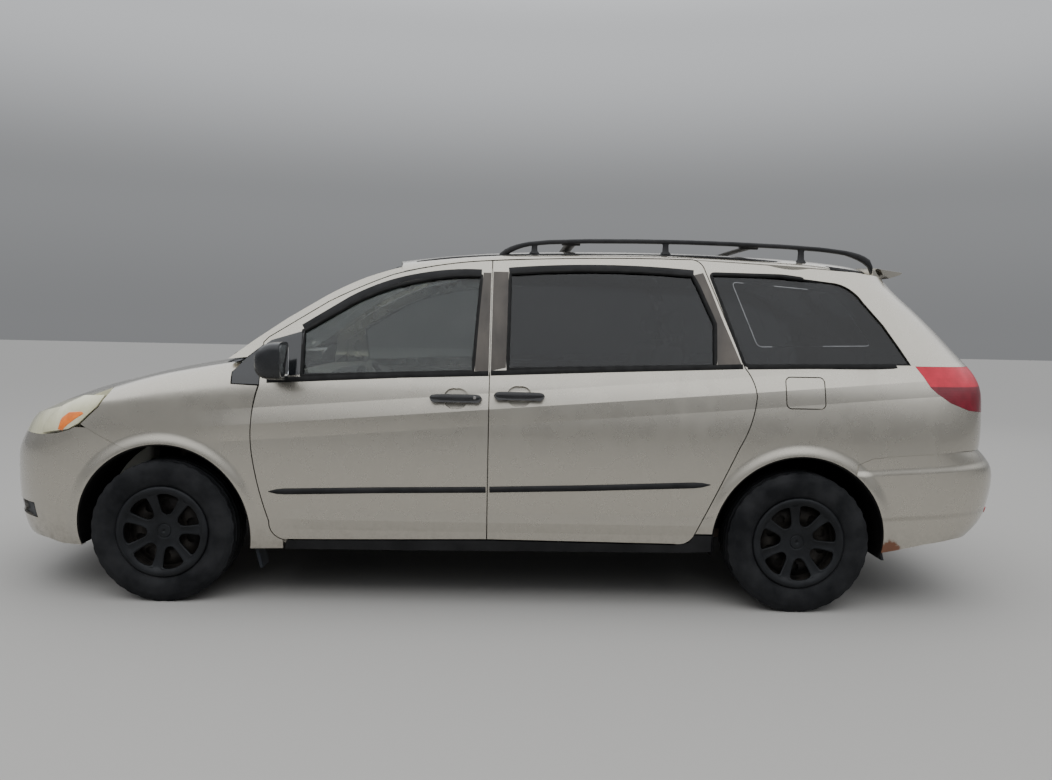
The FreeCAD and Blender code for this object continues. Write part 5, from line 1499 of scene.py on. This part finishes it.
stalk = tube([(-592, 0, 1574), (-628, 0, 1604), (-660, 0, 1630)], 8.0, 10)
piece("cabin_mirror", *joined(cabin_mirror, stalk), cabin_dark, "body", "interior")
load_cover = sheet_over(side_surface, steps_between(1060, 2060, 26), steps_between(790, 1150, 9), -75)
for made in on_both_sides("load_side_cover", *load_cover, cabin, "body", "interior"):
    thicken(made, 0.003)

# Windscreen: wipers, and the dark border
WIPER_PROFILE = [(-5, 1), (-5, 5), (-3, 12), (3, 12), (5, 5), (5, 1)]
ARM_PROFILE = [(-9, 12), (-8, 18), (8, 18), (9, 12)]
# Each row of the windscreen's table is this long for screen_at, so that its two directions are alike
SCREEN_ROW = 400.0
# Share of the half width where the side borders lie, and where the others end
EDGE_SHARE = 0.985
BORDER_SHARE = 0.97


def screen_at(y, row):
    return screen_surface(y, max(0.0, min(4.0, row / SCREEN_ROW)))


def wiper(name, path, blade):
    arm = sweep(screen_at, path, ARM_PROFILE, width=lambda share: 1.15 - 0.5 * share)
    rubber = sweep(screen_at, blade, WIPER_PROFILE)
    cap = stepped(circle(*path[0], 17, 20), [(0, -4), (0, 20), (4, 26), (12, 26)], on_surface(screen_at))
    piece(name, *joined(arm, rubber, cap), trim, "body", "trim")


wiper("wiper_left", [(-610, 12), (-500, 62), (-360, 112), (-240, 148)],
      [(-520, 86), (-400, 112), (-240, 140), (-60, 160), (60, 166)])
wiper("wiper_right", [(-60, 18), (80, 58), (220, 96), (340, 120)],
      [(70, 84), (200, 104), (340, 120), (520, 130), (640, 128)])
for side, way in zip(SIDES, (-1, 1)):
    path = [(way * EDGE_SHARE * screen_curves[2](k / 10), k * SCREEN_ROW / 10) for k in range(1, 40)]
    edge = sweep(screen_at, path, [(-15, 0.3), (-15, 1.2), (15, 1.2), (15, 0.3)])
    piece("screen_edge_" + side, *edge, seal_rubber, "body", "rubber")
for name, row, reach in (("screen_base_border", 22.0, 820.0), ("screen_top_border", 1566.0, 660.0)):
    path = [(y, row) for y in steps_between(-BORDER_SHARE * reach, BORDER_SHARE * reach, 30)]
    border = sweep(screen_at, path, [(-22, 0.2), (-22, 1.0), (22, 1.0), (22, 0.2)])
    piece(name, *border, seal_rubber, "body", "rubber")

# Front bumper: bars in the lower opening, covers and lamps in the recesses beside it
FOG_Y, FOG_Z = -690.0, 409.0
FOG_SQUEEZE = 0.72
opening_back = sheet_over(front_surface, steps_between(-500, 500, 26), steps_between(330, 438, 4), -34)
thicken(piece("lower_opening_back", *opening_back, liner_black, "body", "trim"), 0.002)
bars = [sweep(front_surface, [(y, z) for y in steps_between(-488, 488, 40)],
              [(-3, -32), (-5, -12), (0, -8), (5, -12), (3, -32)]) for z in (356, 375, 394, 413)]
bars += [sweep(front_surface, [(y, z) for z in (338, 384, 430)], [(-4, -32), (-4, -14), (4, -14), (4, -32)])
         for y in range(-420, 421, 105)]
piece("lower_opening_bars", *joined(*bars), dark_plastic, "body", "trim")
recess_edge = rounded_corners([(-812, 375), (-603, 375), (-603, 443), (-812, 443)], 10)
FOG_PARTS = [("recess", recess_edge,
              [(0, -1), (0, -3), (4, -10), (10, -20), (26, -24)], dark_plastic, "trim"),
             ("bezel", circle(FOG_Y, FOG_Z, 29, 36, FOG_SQUEEZE),
              [(0, -26), (0, -6), (3, -3), (6, -4), (8, -10), (14, -12)], steel, "lamp_clear"),
             ("glass", circle(FOG_Y, FOG_Z, 24, 36, FOG_SQUEEZE),
              [(0, -12), (2, -6), (8, -3), (16, -1.5)], clear_lens, "lamp_clear")]
for name, edge, rows, material, slot in FOG_PARTS:
    on_both_sides("fog_lamp_" + name, *stepped(edge, rows, on_surface(front_surface)), material, "body", slot)
mesh_back = sheet_over(front_surface, steps_between(-420, 420, 24), steps_between(776, 858, 5), -36)
thicken(piece("grille_back", *mesh_back, liner_black, "body", "trim"), 0.002)

# Tailgate: seal of its window, wiper, high lamp, garnish over the plate, and the blank plate
REAR_WINDOW = [(-560, 1220), (-545, 1400), (-495, 1560), (-440, 1600), (440, 1600), (495, 1560), (545, 1400),
               (560, 1220)]
PLATE_HALF = 152.5
PLATE_LOW_Z, PLATE_HIGH_Z = 864.0, 1016.0
BOLT_Y, BOLT_Z = 89.0, 1000.0
REAR_PIVOT = (-20, 1206)
glass_seal = [(across, out + 4 if out > -5 else out) for across, out in SEAL_PROFILE]
seal = sweep(tail_surface, inward(trace(rounded_corners(REAR_WINDOW, 24))), glass_seal, True)
piece("rear_window_seal", *seal, seal_rubber, "tailgate", "rubber")
tail_skin = skin_of("tailgate", tail_surface)
garnish = stepped(rounded_corners([(-330, 1098), (330, 1098), (318, 1146), (-318, 1146)], 14),
                  [(0, -4), (0, 10), (3, 16), (8, 19), (13, 19)], on_surface(tail_skin))
piece("plate_garnish", *garnish, garnish_paint, "tailgate", "body_paint")
surround = stepped(rounded_corners([(-206, 846), (206, 846), (228, 1092), (-228, 1092)], 22),
                   [(0, -2), (0, 2.2), (3, 3), (10, 3), (16, 1.2)], on_surface(tail_skin))
piece("plate_surround", *surround, dark_plastic, "tailgate", "trim")
# The plate stands 3.5 mm clear of the skin's highest place behind it
plate_x = max(tail_skin(y, z).x for y in (-150, 0, 150) for z in (866, 920, 985, 1014)) + 3.5


def plate_point(y, z, out):
    return Vector((plate_x + out, y, z))


plate = stepped(rectangle(-PLATE_HALF, PLATE_LOW_Z, PLATE_HALF, PLATE_HIGH_Z, 12),
                [(0, -5), (0, 1.4), (1.2, 2), (5, 2), (6, 1), (8, 1), (9, 1.8), (11.5, 1.8)], plate_point)
piece("blank_plate", *plate, plate_white, "tailgate", "steel")
for letter, y in (("a", -BOLT_Y), ("b", BOLT_Y)):
    bolt = stepped(circle(y, BOLT_Z, 6.5, 6), [(0, 0), (0, 5), (1, 6), (3, 6)], plate_point)
    piece("plate_bolt_" + letter, *bolt, steel, "tailgate", "steel")
high_rows = [(0, 2040), (0, 2049.2), (1.5, 2050.4), (5, 2050.4)]
high_lamp = stepped(rectangle(-170, 1664, 170, 1682, 6), high_rows, at_depth)
piece("high_stop_lamp", *high_lamp, red_lens_plain, "tailgate", "lamp_red")
rear_arm = sweep(tail_surface, [REAR_PIVOT, (90, 1226), (210, 1248), (300, 1258)],
                 [(-8, 10), (-7, 17), (7, 17), (8, 10)], width=lambda share: 1.1 - 0.45 * share)
rear_blade = sweep(tail_surface, [(90, 1240), (200, 1256), (300, 1264), (390, 1266)],
                   [(-5, 1), (-5, 5), (-2.5, 11), (2.5, 11), (5, 5), (5, 1)])
rear_cap = stepped(circle(*REAR_PIVOT, 19, 24), [(0, -4), (0, 16), (4, 22), (10, 22)],
                   on_surface(tail_surface))
piece("rear_wiper", *joined(rear_arm, rear_blade, rear_cap), trim, "tailgate", "trim")

# Rear bumper: step pad on top, reflectors
pad = sheet_over(rear_bumper_surface, steps_between(-560, 560, 30), [768, 774, 780, 786], 1.0)
thicken(piece("step_pad", *pad, trim, "body", "trim"), 0.003)
reflector = stepped(rounded_corners([(-790, 470), (-690, 470), (-690, 498), (-790, 498)], 10),
                    [(0, -4), (0, 2), (2, 3.5), (7, 3.5)],
                    on_surface(skin_of("rear_bumper", rear_bumper_surface)))
on_both_sides("rear_reflector", *reflector, red_lens_plain, "body", "lamp_red")

# Under the hood: each piece's name and material, then its plates: an outline in plan and rows of (inset, z)
RIB_ROWS = [(0, 886), (0, 892), (1.5, 893.5), (5, 893.5)]
POLE_ROWS = [(0, 744), (0, 762), (1, 764), (4, 764)]
CLIP_ROWS = [(0, 814), (0, 820), (2, 822), (6, 822)]
UNDER_HOOD = [
    ("engine_cover", dark_plastic,
     [(rectangle(-2075, -300, -1625, 222, 46, 6), [(0, 850), (0, 876), (5, 884), (16, 888), (44, 889)])]
     + [(rectangle(-2030, y, -1670, y + 14, 5), RIB_ROWS) for y in (-246, -196, -146, 54, 104, 154)]
     + [(circle(-1700, -40, 34, 32), [(0, 886), (0, 891), (2, 893.5), (12, 893.5), (14, 891)])]),
    ("battery", cabin_dark,
     [(rectangle(-1990, 414, -1770, 588, 8),
       [(0, 536), (0, 700), (2, 704), (2, 708), (0, 710), (0, 742), (4, 746), (7, 746)]),
      (circle(-1950, 450, 10, 16), POLE_ROWS), (circle(-1810, 450, 10, 16), POLE_ROWS)]),
    ("coolant_bottle", milky_plastic,
     [(rectangle(-2000, -590, -1790, -424, 30), [(8, 536), (0, 548), (0, 690), (10, 712), (28, 722)]),
      (circle(-1900, -505, 30, 24), [(0, 718), (0, 742), (3, 746), (10, 746)])]),
    ("radiator_panel", dark_plastic,
     [(rectangle(-2392, -318, -2262, 318, 16), [(0, 788), (0, 812), (3, 816), (12, 816)])]
     + [(circle(-2326, y, 13, 20), CLIP_ROWS) for y in (-280, -140, 0, 140, 280)]),
]
for name, material, parts in UNDER_HOOD:
    piece(name, *plates(at_height, *parts), material, "body", "interior")

# Pale border line inside the quarter glass
ghost = rounded_corners([(1122, 1590), (1226, 1275), (1790, 1290), (1658, 1518), (1600, 1556)], 26)
side_trim("quarter_glass_border", inward(ghost), [(-2.2, -12.4), (-2.2, -9.6), (2.2, -9.6), (2.2, -12.4)],
          ghost_line, "body", "glass_dark", closed=True)

# Floor, light and camera
def floor():
    mesh = bpy.data.meshes.new("floor")
    half = 40.0
    mesh.from_pydata([(-half, -half, 0), (half, -half, 0), (half, half, 0), (-half, half, 0)], [],
                     [(0, 1, 2, 3)])
    made = bpy.data.objects.new("floor", mesh)
    pale = shader("pale_floor", (0.27, 0.265, 0.255), 0.85, specular=0.1)
    mesh.materials.append(pale)
    scene.collection.objects.link(made)


floor()


def soft_light(name, place, aim, size, power):
    """A lamp whose edges don't show in the glass."""
    lamp = bpy.data.lights.new(name, "AREA")
    lamp.shape = "RECTANGLE"
    lamp.size, lamp.size_y = size
    lamp.energy = power
    made = bpy.data.objects.new(name, lamp)
    made.location = place
    made.rotation_euler = (Vector(aim) - Vector(place)).to_track_quat("-Z", "Y").to_euler()
    made.visible_glossy = False
    scene.collection.objects.link(made)


soft_light("sky_light", (0.0, -1.5, 7.5), (0.0, 0.0, 0.5), (10.0, 7.0), 330.0)
soft_light("side_light", (-0.5, -6.5, 6.5), (0.0, 0.0, 0.9), (11.0, 2.5), 260.0)
soft_light("back_light", (2.5, 7.5, 4.5), (0.0, 0.0, 0.8), (8.0, 3.0), 120.0)
sky = bpy.data.worlds.new("sky")
sky.use_nodes = True
# Brightness of the studio's walls and ceiling by the height of the view: sine of the elevation, brightness
SKY_TONES = [(-0.2, 0.08), (0.0, 0.13), (0.14, 0.16), (0.32, 0.36), (0.5, 0.9), (1.0, 1.0)]
direction = sky.node_tree.nodes.new("ShaderNodeTexCoord")
upward = sky.node_tree.nodes.new("ShaderNodeSeparateXYZ")
tones = sky.node_tree.nodes.new("ShaderNodeValToRGB")
tones.color_ramp.interpolation = "EASE"
while len(tones.color_ramp.elements) < len(SKY_TONES):
    tones.color_ramp.elements.new(0.5)
for element, (height, tone) in zip(tones.color_ramp.elements, SKY_TONES):
    element.position = (height + 1) / 2
    element.color = (tone * 0.97, tone * 0.99, tone * 1.02, 1.0)
half_up = sky.node_tree.nodes.new("ShaderNodeMapRange")
half_up.inputs["From Min"].default_value = -1.0
background = sky.node_tree.nodes["Background"]
background.inputs["Strength"].default_value = 1.75
for source, target in [(direction.outputs["Generated"], upward.inputs[0]),
                       (upward.outputs["Z"], half_up.inputs["Value"]),
                       (half_up.outputs["Result"], tones.inputs["Fac"]),
                       (tones.outputs["Color"], background.inputs["Color"])]:
    sky.node_tree.links.new(source, target)
scene.world = sky

lens = bpy.data.cameras.new("camera")
lens.sensor_width = SENSOR_WIDTH
lens.lens = FOCAL_PIXELS / PICTURE_WIDTH * SENSOR_WIDTH
turn, pitch, roll = (math.radians(a) for a in (CAMERA_TURN, CAMERA_PITCH, CAMERA_ROLL))
ahead = Vector((math.sin(turn) * math.cos(pitch), math.cos(turn) * math.cos(pitch), -math.sin(pitch)))
level_right = Vector((math.cos(turn), -math.sin(turn), 0.0))
level_up = level_right.cross(ahead)
right = level_right * math.cos(roll) + level_up * math.sin(roll)
up = level_up * math.cos(roll) - level_right * math.sin(roll)
camera = bpy.data.objects.new("camera", lens)
camera.matrix_world = Matrix.Translation(CAMERA_AT) @ Matrix((right, up, -ahead)).transposed().to_4x4()
scene.collection.objects.link(camera)
scene.camera = camera
